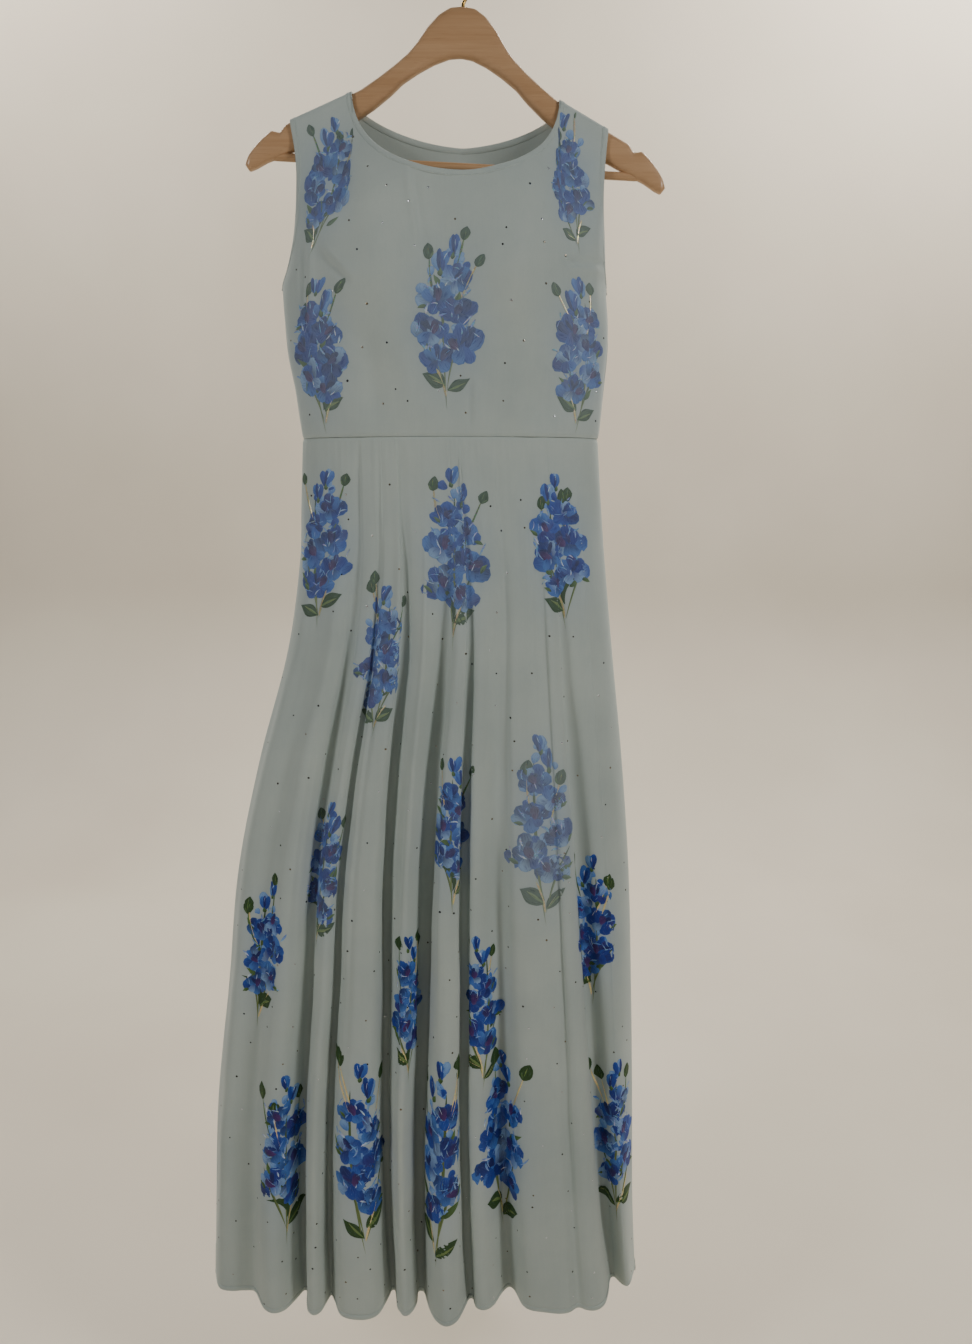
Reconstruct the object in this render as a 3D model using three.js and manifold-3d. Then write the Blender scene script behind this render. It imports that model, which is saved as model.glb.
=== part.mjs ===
// A sleeveless flared kurta hanging on a wooden clothes hanger.
//
// Units are millimetres, +Z is up, +X runs along the hanger and -Y is the front of the
// garment. The origin is the top of the inside of the hook, where the hanger hangs on a
// rail. The cloth is a wall: each panel is a grid of points worked out from a few levels
// and folds, with a second grid a wall's thickness inside it and rims round its edges.
import * as THREE from 'three';
import { mergeVertices } from 'three/addons/utils/BufferGeometryUtils.js';
import Module from 'manifold-3d';

// ---------------------------------------------------------------- driving dimensions
const CLOTH = { wall: 1.5, seamGap: 0.3 };

const HANGER = {
  thickness: 14,
  edgeRadius: 5,
  tilt: THREE.MathUtils.degToRad(3),
  apexZ: -57,
  crotchZ: -106,
  barZ: -212.5,
  barRadius: 4.3,
  barHalfLength: 198,
  boreClearance: 0.3,
  boreLength: 60,
};

const HOOK = {
  wire: 1.9,
  innerRadius: 19,
  shankFoot: -78,
  shankTop: -55,
  kneeX: 4.5,
  kneeZ: -45,
  startAngle: -50,
  tipAngle: 200,
  angleStep: 25,
};

// Where the kurta lies on the hanger, and its main heights.
const FIT = {
  neckCentreX: -11,
  neckHalfWidth: 110,
  frontNeckDrop: 90,
  backNeckDrop: 38,
  shoulderLeftX: -187,
  shoulderRightX: 151,
  underarmZ: -338,
  waistZ: -497,
  hemZ: -1568,
  shoulderBlend: 130,
  clearance: 1.1,
};

// Cross-sections of the bodice: the side edges, how far the front and back stand from
// the middle, how far the armhole edge stands, and how square the section is.
const BODICE_LEVELS = [
  { z: -140, left: -190, right: 153, front: 47, back: 42, edge: 9, round: 1.25 },
  { z: -170, left: -186, right: 151, front: 50, back: 46, edge: 10, round: 1.25 },
  { z: -205, left: -181, right: 148, front: 55, back: 50, edge: 17, round: 1.25 },
  { z: -245, left: -180, right: 146, front: 59, back: 53, edge: 22, round: 1.3 },
  { z: -285, left: -184, right: 147, front: 61, back: 54, edge: 21, round: 1.45 },
  { z: -318, left: -193, right: 150, front: 62, back: 55, edge: 11, round: 1.75 },
  { z: -338, left: -201, right: 153, front: 62, back: 55, edge: 0, round: 2 },
  { z: -400, left: -199, right: 156, front: 57, back: 53, edge: 0, round: 2.1 },
  { z: -450, left: -191, right: 152, front: 53, back: 51, edge: 0, round: 2 },
  { z: -497, left: -185, right: 147, front: 52, back: 50, edge: 0, round: 2 },
];

const BUST = { x: 76, z: -322, spreadX: 40, spreadZ: 52, fullness: 9 };

// Powers of the curves: across a section, of the roll over an arm, and round the neck.
const CURVE = { section: 2.2, roll: 2.7, neck: 1.35 };

// Cross-sections of the skirt before its flutes are added.
const SKIRT_LEVELS = [
  { z: -497, left: -185, right: 147, front: 52, back: 50, seamY: 0 },
  { z: -564, left: -189, right: 152, front: 53, back: 52, seamY: 1 },
  { z: -632, left: -193, right: 158, front: 55, back: 54, seamY: 2 },
  { z: -736, left: -211, right: 169, front: 57, back: 56, seamY: 4 },
  { z: -869, left: -250, right: 184, front: 60, back: 59, seamY: 6 },
  { z: -1007, left: -282, right: 196, front: 62, back: 62, seamY: 8 },
  { z: -1150, left: -300, right: 203, front: 63, back: 65, seamY: 10 },
  { z: -1314, left: -322, right: 209, front: 64, back: 67, seamY: 11 },
  { z: -1457, left: -332, right: 213, front: 64, back: 68, seamY: 12 },
  { z: -1568, left: -338, right: 219, front: 64, back: 70, seamY: 13 },
];

// Flutes of the skirt, left to right: where the ridge springs from the waist, where it
// reaches the hem and how far it stands there, half the width of its rounded top, the
// valley after it in the same terms, and how far down the skirt the flute starts. A flute
// with a `drift` of its own stays nearer to its place at the waist for longer.
const FRONT_FLUTES = [
  { waistX: -170, x: -306, y: -30, half: 17, valleyWaistX: -156, valleyX: -276, valleyY: -31, start: 0.1 },
  { waistX: -139, x: -245, y: -63, half: 13, valleyWaistX: -122, valleyX: -212, valleyY: -24, start: 0.08 },
  { waistX: -106, x: -194, y: -65, half: 8, valleyWaistX: -93, valleyX: -177, valleyY: -33, start: 0.12 },
  { waistX: -84, x: -137, y: -71, half: 23, valleyWaistX: -75, valleyX: -98, valleyY: -27, start: 0.07 },
  { waistX: -50, x: -80, y: -65, half: 8, valleyWaistX: -22, valleyX: -63, valleyY: -26, start: 0.08 },
  { waistX: -14, x: -31, y: -80, half: 18, valleyWaistX: -6, valleyX: 0, valleyY: -42, start: 0.06 },
  { waistX: 4, x: 19, y: -60, half: 10, valleyWaistX: 20, valleyX: 52, valleyY: -20, start: 0.15 },
  { waistX: 46, x: 99, y: -58, half: 27, valleyWaistX: 70, valleyX: 138, valleyY: -49, start: 0.1 },
  {
    waistX: 80, x: 160, y: -53, half: 12, valleyWaistX: 92, valleyX: 187, valleyY: -5, start: 0.08,
    drift: 1.5,
  },
  { waistX: 118, x: 204, y: -20, half: 5, start: 0.03, drift: 1.3 },
];

const BACK_FLUTES = [
  { waistX: -158, x: -296, y: 56, half: 14, valleyWaistX: -134, valleyX: -256, valleyY: 34, start: 0.05 },
  { waistX: -112, x: -209, y: 82, half: 17, valleyWaistX: -88, valleyX: -166, valleyY: 42, start: 0 },
  { waistX: -64, x: -123, y: 88, half: 14, valleyWaistX: -42, valleyX: -85, valleyY: 46, start: 0.1 },
  { waistX: -20, x: -40, y: 94, half: 20, valleyWaistX: 6, valleyX: 8, valleyY: 48, start: 0 },
  { waistX: 28, x: 52, y: 86, half: 15, valleyWaistX: 56, valleyX: 97, valleyY: 40, start: 0.06 },
  { waistX: 82, x: 139, y: 76, half: 13, valleyWaistX: 106, valleyX: 172, valleyY: 34, start: 0 },
  { waistX: 124, x: 197, y: 46, half: 8, start: 0.1 },
];

// How much a ridge drops at the ends of its rounded top, how much of that width it has
// where it springs, and how its depth and its place change on the way down.
const FLUTE = { shoulderDrop: 0.16, springShare: 0.3, growth: 0.85, drift: 0.75 };

// How finely the panels are divided.
const GRID = {
  shoulder: 5,
  neck: 18,
  bodiceDrops: [0, 1.4, 4.6, 9.5, 19, 36, 62, 98, 140, 188, 246, 300, 352],
  skirtDrops: [0, 26, 62, 118, 195, 290, 400, 520, 650, 785, 925, 1071],
  columnsPerSpan: 3,
};

const COLOURS = {
  crepe: 0x9fb0b0,
  crepeBack: 0x93a5a7,
  wood: 0x9a7650,
  dowel: 0xa8845c,
  wire: 0xb9985a,
};

// ---------------------------------------------------------------- small helpers
const mix = (a, b, t) => a + (b - a) * t;
const clamp01 = (t) => Math.min(1, Math.max(0, t));
const smooth = (t) => clamp01(t) ** 2 * (3 - 2 * clamp01(t));

// The value of one column of a table of levels at height z, on a smooth curve through
// the rows whose slope at each row is the mean slope of its two neighbours.
function levelValue(levels, column, z) {
  const last = levels.length - 1;
  let i = 0;
  while (i < last - 1 && z < levels[i + 1].z) i += 1;
  const slope = (k) => {
    const above = levels[Math.max(0, k - 1)];
    const below = levels[Math.min(last, k + 1)];
    return (below[column] - above[column]) / (below.z - above.z);
  };
  const a = levels[i];
  const b = levels[i + 1];
  const span = b.z - a.z;
  const t = clamp01((z - a.z) / span);
  const t2 = t * t;
  const t3 = t2 * t;
  return (2 * t3 - 3 * t2 + 1) * a[column] + (t3 - 2 * t2 + t) * span * slope(i)
    + (3 * t2 - 2 * t3) * b[column] + (t3 - t2) * span * slope(i + 1);
}

function makeMesh(name, geometry, colour, roughness, metalness = 0) {
  const material = new THREE.MeshStandardMaterial({ color: colour, roughness, metalness });
  const mesh = new THREE.Mesh(geometry, material);
  mesh.name = name;
  return mesh;
}

// ---------------------------------------------------------------- cloth walls
// The outward direction at each point of a grid, from the differences to its neighbours.
// `turn` is +1 or -1 and picks the side that faces out of the garment.
function gridNormals(points, turn) {
  const rows = points.length;
  const columns = points[0].length;
  return points.map((row, i) => row.map((_, j) => {
    const down = new THREE.Vector3().subVectors(
      points[Math.min(rows - 1, i + 1)][j], points[Math.max(0, i - 1)][j]);
    const across = new THREE.Vector3().subVectors(
      points[i][Math.min(columns - 1, j + 1)], points[i][Math.max(0, j - 1)]);
    return down.cross(across).normalize().multiplyScalar(turn);
  }));
}

// A closed wall from a grid of outer points and the outward directions at them: the inner
// points lie a wall's thickness inside, and rims close the four edges.
function wallGeometry(points, normals, turn) {
  const rows = points.length;
  const columns = points[0].length;
  const positions = [];
  const push = (p) => positions.push(p.x, p.y, p.z);
  points.forEach((row) => row.forEach(push));
  points.forEach((row, i) => row.forEach((p, j) => {
    push(p.clone().addScaledVector(normals[i][j], -CLOTH.wall));
  }));
  const outer = (i, j) => i * columns + j;
  const inner = (i, j) => rows * columns + outer(i, j);
  const index = [];
  const quad = (a, b, c, d) => {
    if (turn > 0) index.push(a, b, c, a, c, d);
    else index.push(a, c, b, a, d, c);
  };
  for (let i = 0; i < rows - 1; i += 1) {
    for (let j = 0; j < columns - 1; j += 1) {
      quad(outer(i, j), outer(i + 1, j), outer(i + 1, j + 1), outer(i, j + 1));
      quad(inner(i, j), inner(i, j + 1), inner(i + 1, j + 1), inner(i + 1, j));
    }
  }
  for (let i = 0; i < rows - 1; i += 1) {
    const j = columns - 1;
    quad(outer(i, 0), inner(i, 0), inner(i + 1, 0), outer(i + 1, 0));
    quad(outer(i, j), outer(i + 1, j), inner(i + 1, j), inner(i, j));
  }
  for (let j = 0; j < columns - 1; j += 1) {
    const i = rows - 1;
    quad(outer(0, j), outer(0, j + 1), inner(0, j + 1), inner(0, j));
    quad(outer(i, j), inner(i, j), inner(i, j + 1), outer(i, j + 1));
  }
  const geometry = new THREE.BufferGeometry();
  geometry.setAttribute('position', new THREE.Float32BufferAttribute(positions, 3));
  geometry.setIndex(index);
  return geometry;
}

// Keeps a rim square to its seam: the outward direction loses its part along `axis`.
function squareToSeam(normal, axis) {
  normal[axis] = 0;
  normal.normalize();
}

// ---------------------------------------------------------------- hanger
// Top and underside of one arm, from the middle to the tip, in the hanger's own axes.
const ARM_TOP = [
  [13, -58.5], [25, -66], [37, -79], [47, -94], [57, -106], [71, -118], [88, -131],
  [105, -143], [146, -163], [184, -181],
];
const ARM_NOTCH = [[188, -188.5], [193, -188.5]];
const ARM_TIP = [[198, -187], [206, -193.5], [216, -204.5], [223, -215], [225.7, -222], [222, -229]];
const ARM_UNDERSIDE = [
  [214, -226], [202, -219], [190, -214], [158, -199.5], [120, -181], [90, -161], [72, -146], [60, -134],
  [44, -123], [28, -114], [12, -107.5],
];

const mirror = (points) => points.map(([x, z]) => [-x, z]).reverse();

function armsOutline() {
  const right = [...ARM_TOP, ...ARM_NOTCH, ...ARM_TIP, ...ARM_UNDERSIDE];
  const shape = new THREE.Shape();
  const points = [[0, HANGER.apexZ], ...right, [0, HANGER.crotchZ], ...mirror(right)];
  shape.setFromPoints(points.map(([x, z]) => new THREE.Vector2(x, z)));
  return shape;
}

// Extrudes an outline drawn in X and Z to both sides of the XZ plane.
function armsBlank() {
  const depth = HANGER.thickness - 2 * HANGER.edgeRadius;
  const geometry = new THREE.ExtrudeGeometry(armsOutline(), {
    depth,
    bevelEnabled: true,
    bevelThickness: HANGER.edgeRadius,
    bevelSize: HANGER.edgeRadius,
    bevelOffset: -HANGER.edgeRadius,
    bevelSegments: 3,
    curveSegments: 4,
  });
  geometry.translate(0, 0, -depth / 2);
  geometry.rotateX(Math.PI / 2);
  return geometry;
}

function toManifold(wasm, geometry) {
  const bare = new THREE.BufferGeometry();
  bare.setAttribute('position', geometry.getAttribute('position'));
  bare.setIndex(geometry.getIndex());
  const merged = mergeVertices(bare, 1e-3);
  return new wasm.Manifold(new wasm.Mesh({
    numProp: 3,
    vertProperties: new Float32Array(merged.getAttribute('position').array),
    triVerts: new Uint32Array(merged.getIndex().array),
  }));
}

function fromManifold(solid) {
  const mesh = solid.getMesh();
  const geometry = new THREE.BufferGeometry();
  geometry.setAttribute('position', new THREE.Float32BufferAttribute(mesh.vertProperties, 3));
  geometry.setIndex(Array.from(mesh.triVerts));
  return geometry;
}

// The arms with a bore for the hook's shank and one right through for the bar's ends.
async function armsGeometry() {
  const wasm = await Module();
  wasm.setup();
  const shankBore = new THREE.CylinderGeometry(
    HOOK.wire + HANGER.boreClearance, HOOK.wire + HANGER.boreClearance, HANGER.boreLength, 16);
  shankBore.rotateX(Math.PI / 2);
  shankBore.translate(0, 0, HOOK.shankFoot - HANGER.boreClearance + HANGER.boreLength / 2);
  const barRadius = HANGER.barRadius + HANGER.boreClearance;
  const barLength = 2 * (HANGER.barHalfLength + HANGER.boreClearance);
  const barBore = new THREE.CylinderGeometry(barRadius, barRadius, barLength, 20);
  barBore.rotateZ(Math.PI / 2);
  barBore.translate(0, 0, HANGER.barZ);
  const solid = toManifold(wasm, armsBlank())
    .subtract(toManifold(wasm, shankBore))
    .subtract(toManifold(wasm, barBore));
  return fromManifold(solid);
}

function barGeometry() {
  const geometry = new THREE.CylinderGeometry(
    HANGER.barRadius, HANGER.barRadius, 2 * HANGER.barHalfLength, 16);
  geometry.rotateZ(Math.PI / 2);
  geometry.translate(0, 0, HANGER.barZ);
  return geometry;
}

// A round wire: a straight shank, a short sweep out to the right, then an arc over the top.
function hookGeometry() {
  const arcRadius = HOOK.innerRadius + HOOK.wire;
  const centreZ = -HOOK.innerRadius;
  const arcPoint = (degrees) => {
    const a = THREE.MathUtils.degToRad(degrees);
    return new THREE.Vector3(arcRadius * Math.cos(a), 0, centreZ + arcRadius * Math.sin(a));
  };
  const points = [
    new THREE.Vector3(0, 0, HOOK.shankFoot),
    new THREE.Vector3(0, 0, HOOK.shankTop - 8),
    new THREE.Vector3(0, 0, HOOK.shankTop),
    new THREE.Vector3(HOOK.kneeX, 0, HOOK.kneeZ),
  ];
  for (let angle = HOOK.startAngle; angle <= HOOK.tipAngle; angle += HOOK.angleStep) {
    points.push(arcPoint(angle));
  }
  const section = new THREE.Shape();
  section.absarc(0, 0, HOOK.wire, 0, 2 * Math.PI, false);
  return new THREE.ExtrudeGeometry(section, {
    steps: 40,
    curveSegments: 4,
    bevelEnabled: false,
    extrudePath: new THREE.CatmullRomCurve3(points, false, 'centripetal'),
  });
}

async function buildHanger() {
  const hanger = new THREE.Group();
  hanger.add(makeMesh('hanger_arms', await armsGeometry(), COLOURS.wood, 0.5));
  hanger.add(makeMesh('hanger_bar', barGeometry(), COLOURS.dowel, 0.5));
  hanger.add(makeMesh('hanger_hook', hookGeometry(), COLOURS.wire, 0.3, 1));
  hanger.rotation.y = HANGER.tilt;
  return hanger;
}

// ---------------------------------------------------------------- bodice
// The straight stretch of an arm's top that the cloth lies on, tilted with the hanger: it
// runs from the eighth point to the last. `side` is -1 for the left arm, +1 for the right.
function armLine(side) {
  const [[x0, z0], [x1, z1]] = [ARM_TOP[7], ARM_TOP[9]];
  const tilted = (x, z) => ({
    x: side * x * Math.cos(HANGER.tilt) + z * Math.sin(HANGER.tilt),
    z: -side * x * Math.sin(HANGER.tilt) + z * Math.cos(HANGER.tilt),
  });
  const near = tilted(x0, z0);
  const far = tilted(x1, z1);
  const slope = (far.z - near.z) / (far.x - near.x);
  const lift = (FIT.clearance + CLOTH.wall) * Math.sqrt(1 + slope * slope);
  return { slope, at: (x) => near.z + lift + slope * (x - near.x) };
}

const LEFT_ARM = armLine(-1);
const RIGHT_ARM = armLine(1);

// Height of the cloth's ridge along the hanger: a roof of the two arms' lines.
const ridgeZ = (x) => Math.min(LEFT_ARM.at(x), RIGHT_ARM.at(x));

// How far the cloth stands from the middle at a distance below its ridge, as it rolls
// over the arm: a rounded square of the arm's half thickness.
const ROLL_RADIUS = HANGER.thickness / 2 + FIT.clearance + CLOTH.wall;

function rollDepth(drop) {
  const t = clamp01(1 - drop / ROLL_RADIUS);
  return ROLL_RADIUS * (1 - t ** CURVE.roll) ** (1 / CURVE.roll);
}

// Depth of the bodice at a place and height across it, as a distance from the middle.
function bodiceDepth(side, x, z) {
  const left = levelValue(BODICE_LEVELS, 'left', z);
  const right = levelValue(BODICE_LEVELS, 'right', z);
  const s = (2 * x - left - right) / (right - left);
  const full = levelValue(BODICE_LEVELS, side, z);
  const edge = Math.max(0, levelValue(BODICE_LEVELS, 'edge', z));
  const round = levelValue(BODICE_LEVELS, 'round', z);
  const crown = (1 - Math.min(1, Math.abs(s)) ** CURVE.section) ** (1 / round);
  const section = edge + (full - edge) * crown;
  const drop = Math.max(0, ridgeZ(x) - z);
  let depth = rollDepth(drop) + (section - ROLL_RADIUS) * smooth(drop / FIT.shoulderBlend);
  if (side === 'front') depth += bustFullness(x, z);
  return Math.max(0, depth);
}

// Outward direction of a bodice panel, from the slope of its depth.
function bodiceNormal(side, x, z) {
  const step = 0.4;
  const slopeX = (bodiceDepth(side, x + step, z) - bodiceDepth(side, x - step, z)) / (2 * step);
  const slopeZ = (bodiceDepth(side, x, z + step) - bodiceDepth(side, x, z - step)) / (2 * step);
  const outY = side === 'front' ? -1 : 1;
  return new THREE.Vector3(-slopeX, outY, -slopeZ).normalize();
}

function bustFullness(x, z) {
  const centre = levelValue(BODICE_LEVELS, 'left', z) / 2 + levelValue(BODICE_LEVELS, 'right', z) / 2;
  const bump = (offset) => Math.exp(-(((x - centre - offset) / BUST.spreadX) ** 2)
    - ((z - BUST.z) / BUST.spreadZ) ** 2);
  return BUST.fullness * (bump(-BUST.x) + bump(BUST.x));
}

// Points along the top of a bodice panel: shoulder, neckline, shoulder.
function bodiceTop(neckDrop) {
  const neckLeft = FIT.neckCentreX - FIT.neckHalfWidth;
  const neckRight = FIT.neckCentreX + FIT.neckHalfWidth;
  const top = [];
  for (let i = 0; i < GRID.shoulder; i += 1) {
    const x = mix(FIT.shoulderLeftX, neckLeft, i / GRID.shoulder);
    top.push({ x, z: ridgeZ(x), onShoulder: true });
  }
  const half = GRID.neck / 2;
  for (let i = 0; i <= GRID.neck; i += 1) {
    const side = i < half ? -1 : 1;
    const turn = Math.abs(i - half) / half;
    const angle = (Math.PI / 2) * (1 - turn) ** CURVE.neck;
    const x = FIT.neckCentreX + side * FIT.neckHalfWidth * Math.cos(angle);
    const level = mix(ridgeZ(neckLeft), ridgeZ(neckRight), (x - neckLeft) / (neckRight - neckLeft));
    top.push({ x, z: level - neckDrop * Math.sin(angle), onShoulder: i === 0 || i === GRID.neck });
  }
  for (let i = 1; i <= GRID.shoulder; i += 1) {
    const x = mix(neckRight, FIT.shoulderRightX, i / GRID.shoulder);
    top.push({ x, z: ridgeZ(x), onShoulder: true });
  }
  return top;
}

// A bodice panel. Every column runs from the top edge to the waist; its place between the
// side edges eases from where it starts to an even spread round the waist.
function bodicePanel(side) {
  const turn = side === 'front' ? 1 : -1;
  const top = bodiceTop(side === 'front' ? FIT.frontNeckDrop : FIT.backNeckDrop);
  const bottomZ = FIT.waistZ + CLOTH.seamGap / 2;
  const edges = (z) => [levelValue(BODICE_LEVELS, 'left', z), levelValue(BODICE_LEVELS, 'right', z)];
  const deepest = GRID.bodiceDrops[GRID.bodiceDrops.length - 1];
  const lastColumn = top.length - 1;
  const points = GRID.bodiceDrops.map((drop) => top.map((start, j) => {
    const t = drop / deepest;
    const z = mix(start.z, bottomZ, t);
    const [left, right] = edges(z);
    const [startLeft, startRight] = edges(start.z);
    const startShare = (start.x - startLeft) / (startRight - startLeft);
    const waistShare = 0.5 - 0.5 * Math.cos((Math.PI * j) / lastColumn);
    const onEdge = j === 0 || j === lastColumn;
    const share = onEdge ? j / lastColumn : mix(startShare, waistShare, smooth(t));
    const x = mix(left, right, share);
    const depth = Math.max(CLOTH.seamGap / 2, bodiceDepth(side, x, z));
    return new THREE.Vector3(x, -turn * depth, z);
  }));
  const normals = points.map((row) => row.map((p) => bodiceNormal(side, p.x, p.z)));
  top.forEach((start, j) => {
    if (start.onShoulder) squareToSeam(normals[0][j], 'y');
    squareToSeam(normals[points.length - 1][j], 'z');
  });
  points.forEach((row, i) => [0, lastColumn].forEach((j) => {
    if (row[j].z < FIT.underarmZ) squareToSeam(normals[i][j], 'y');
  }));
  return wallGeometry(points, normals, turn);
}

// ---------------------------------------------------------------- skirt
const middleOf = (level) => (level.left + level.right) / 2;
const halfOf = (level) => (level.right - level.left) / 2;
const WAIST = SKIRT_LEVELS[0];
const HEM = SKIRT_LEVELS[SKIRT_LEVELS.length - 1];

// The bends of one panel round the hem, from the left side seam to the right one: three
// points over each ridge and one in each valley.
function hemBends(flutes) {
  const seamBend = (waistX, x) => ({ waistX, x, y: HEM.seamY, start: 0, drift: FLUTE.drift });
  const bends = [seamBend(WAIST.left, HEM.left)];
  flutes.forEach((flute, i) => {
    const before = i === 0 ? HEM.seamY : flutes[i - 1].valleyY;
    const after = flute.valleyY ?? HEM.seamY;
    const shoulder = (foot) => mix(flute.y, foot, FLUTE.shoulderDrop);
    const { start, drift = FLUTE.drift } = flute;
    const add = (waistX, x, y) => bends.push({ waistX, x, y, start, drift });
    const spring = flute.half * FLUTE.springShare;
    add(flute.waistX - spring, flute.x - flute.half, shoulder(before));
    add(flute.waistX, flute.x, flute.y);
    add(flute.waistX + spring, flute.x + flute.half, shoulder(after));
    if (flute.valleyX !== undefined) add(flute.valleyWaistX, flute.valleyX, flute.valleyY);
  });
  bends.push(seamBend(WAIST.right, HEM.right));
  return bends;
}

// A point of the skirt: the column's place across the plain section drifts from the waist
// to the hem, and its flute's depth grows from nothing where the flute starts.
function skirtPoint(side, column, z) {
  const fall = (FIT.waistZ - z) / (FIT.waistZ - FIT.hemZ);
  const left = levelValue(SKIRT_LEVELS, 'left', z);
  const right = levelValue(SKIRT_LEVELS, 'right', z);
  const seamY = levelValue(SKIRT_LEVELS, 'seamY', z);
  const plain = levelValue(SKIRT_LEVELS, side, z);
  const turn = side === 'front' ? -1 : 1;
  const across = mix(column.waistAcross, column.hemAcross, clamp01(fall) ** column.drift);
  const round = (s) => Math.sqrt(Math.max(0, 1 - s * s));
  const hemPlainY = HEM.seamY + turn * HEM[side] * round(column.hemAcross);
  const grown = clamp01((fall - column.start) / (1 - column.start)) ** FLUTE.growth;
  const y = seamY + turn * plain * round(across) + (column.hemY - hemPlainY) * grown;
  return new THREE.Vector3(mix(left, right, 0.5 + across / 2), y, z);
}

function skirtColumns(flutes) {
  const bends = hemBends(flutes);
  const plan = new THREE.CatmullRomCurve3(
    bends.map((bend) => new THREE.Vector3(bend.x, bend.y, 0)), false, 'centripetal');
  const spans = bends.length - 1;
  const columns = [];
  for (let k = 0; k <= spans * GRID.columnsPerSpan; k += 1) {
    const at = k / GRID.columnsPerSpan;
    const i = Math.min(spans - 1, Math.floor(at));
    const hem = plan.getPoint(at / spans);
    const between = (name) => mix(bends[i][name], bends[i + 1][name], at - i);
    columns.push({
      waistAcross: (between('waistX') - middleOf(WAIST)) / halfOf(WAIST),
      hemAcross: (hem.x - middleOf(HEM)) / halfOf(HEM),
      hemY: hem.y,
      start: between('start'),
      drift: between('drift'),
    });
  }
  return columns;
}

function skirtPanel(side) {
  const turn = side === 'front' ? 1 : -1;
  const columns = skirtColumns(side === 'front' ? FRONT_FLUTES : BACK_FLUTES);
  const lastColumn = columns.length - 1;
  const points = GRID.skirtDrops.map((drop, i) => columns.map((column, j) => {
    const z = FIT.waistZ - drop - (i === 0 ? CLOTH.seamGap / 2 : 0);
    const point = skirtPoint(side, column, z);
    if (j === 0 || j === lastColumn) {
      point.y = levelValue(SKIRT_LEVELS, 'seamY', z) - turn * CLOTH.seamGap / 2;
    }
    return point;
  }));
  const normals = gridNormals(points, turn);
  normals[0].forEach((normal) => squareToSeam(normal, 'z'));
  normals[points.length - 1].forEach((normal) => squareToSeam(normal, 'z'));
  normals.forEach((row) => [0, lastColumn].forEach((j) => squareToSeam(row[j], 'y')));
  return wallGeometry(points, normals, turn);
}

// ---------------------------------------------------------------- the whole part
const kurta = new THREE.Group();
kurta.add(makeMesh('front_bodice', bodicePanel('front'), COLOURS.crepe, 0.85));
kurta.add(makeMesh('back_bodice', bodicePanel('back'), COLOURS.crepeBack, 0.85));
kurta.add(makeMesh('front_skirt', skirtPanel('front'), COLOURS.crepe, 0.85));
kurta.add(makeMesh('back_skirt', skirtPanel('back'), COLOURS.crepeBack, 0.85));

const part = new THREE.Group();
part.add(await buildHanger());
part.add(kurta);

export default part;
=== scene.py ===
"""Dresses a packed flared kurta and the wooden hanger that it hangs on.

Sizes are in millimetres, as the garment's maker gives them, and every mesh is written in
metres. +X runs along the hanger, -Y is the front of the garment, +Z is up and the origin
is the top of the inside of the hook. Cloth panels are grids worked out from a few levels
and folds; paint, sequins, edges and stitches are laid on those grids.
"""
from __future__ import annotations

import logging
import math
from dataclasses import dataclass, field
from enum import Enum

import bpy
import numpy as np
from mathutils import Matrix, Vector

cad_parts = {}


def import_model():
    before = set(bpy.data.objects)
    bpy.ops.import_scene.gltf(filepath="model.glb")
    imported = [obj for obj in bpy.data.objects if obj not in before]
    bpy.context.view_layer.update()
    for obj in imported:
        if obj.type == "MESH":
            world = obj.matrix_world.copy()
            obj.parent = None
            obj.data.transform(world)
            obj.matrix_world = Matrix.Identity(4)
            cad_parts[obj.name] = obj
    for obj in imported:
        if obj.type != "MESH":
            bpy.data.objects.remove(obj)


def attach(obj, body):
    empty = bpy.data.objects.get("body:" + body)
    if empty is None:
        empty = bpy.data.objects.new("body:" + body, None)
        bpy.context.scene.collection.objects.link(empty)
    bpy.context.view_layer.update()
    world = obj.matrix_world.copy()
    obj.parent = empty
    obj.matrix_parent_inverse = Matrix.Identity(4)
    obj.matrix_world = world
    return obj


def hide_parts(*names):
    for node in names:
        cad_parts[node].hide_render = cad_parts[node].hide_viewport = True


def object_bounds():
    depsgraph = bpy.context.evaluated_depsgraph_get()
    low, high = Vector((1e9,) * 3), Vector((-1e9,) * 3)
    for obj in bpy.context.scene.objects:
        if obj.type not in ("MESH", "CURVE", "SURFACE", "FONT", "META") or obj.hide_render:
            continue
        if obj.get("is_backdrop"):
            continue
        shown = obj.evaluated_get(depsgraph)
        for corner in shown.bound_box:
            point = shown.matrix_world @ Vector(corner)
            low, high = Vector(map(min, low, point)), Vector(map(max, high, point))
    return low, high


LOG = logging.getLogger("kurta")
MM = 0.001
CLOTH_WALL = 1.0
BODY = "root"

Array = np.ndarray
Material = bpy.types.Material
Socket = bpy.types.NodeSocket
Random = np.random.Generator
Place = tuple[float, float, float]


# ---- numbers and colours
def mix(a: Array | float, b: Array | float, t: Array | float) -> Array | float:
    """Straight mix of two values."""
    return a + (b - a) * t


def smooth(t: Array | float) -> Array | float:
    """Smoothstep: 3t^2 - 2t^3 on t held between 0 and 1."""
    held = np.clip(t, 0.0, 1.0)
    return held * held * (3.0 - 2.0 * held)


def unit(vectors: Array) -> Array:
    """Vectors scaled to length one."""
    return vectors / np.maximum(np.linalg.norm(vectors, axis=-1, keepdims=True), 1e-12)


def linear(code: str) -> tuple[float, float, float]:
    """A colour written as six hexadecimal digits, as scene-linear red, green and blue."""
    parts = [int(code[i:i + 2], 16) / 255.0 for i in (0, 2, 4)]
    red, green, blue = [p / 12.92 if p <= 0.04045 else ((p + 0.055) / 1.055) ** 2.4 for p in parts]
    return red, green, blue


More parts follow.
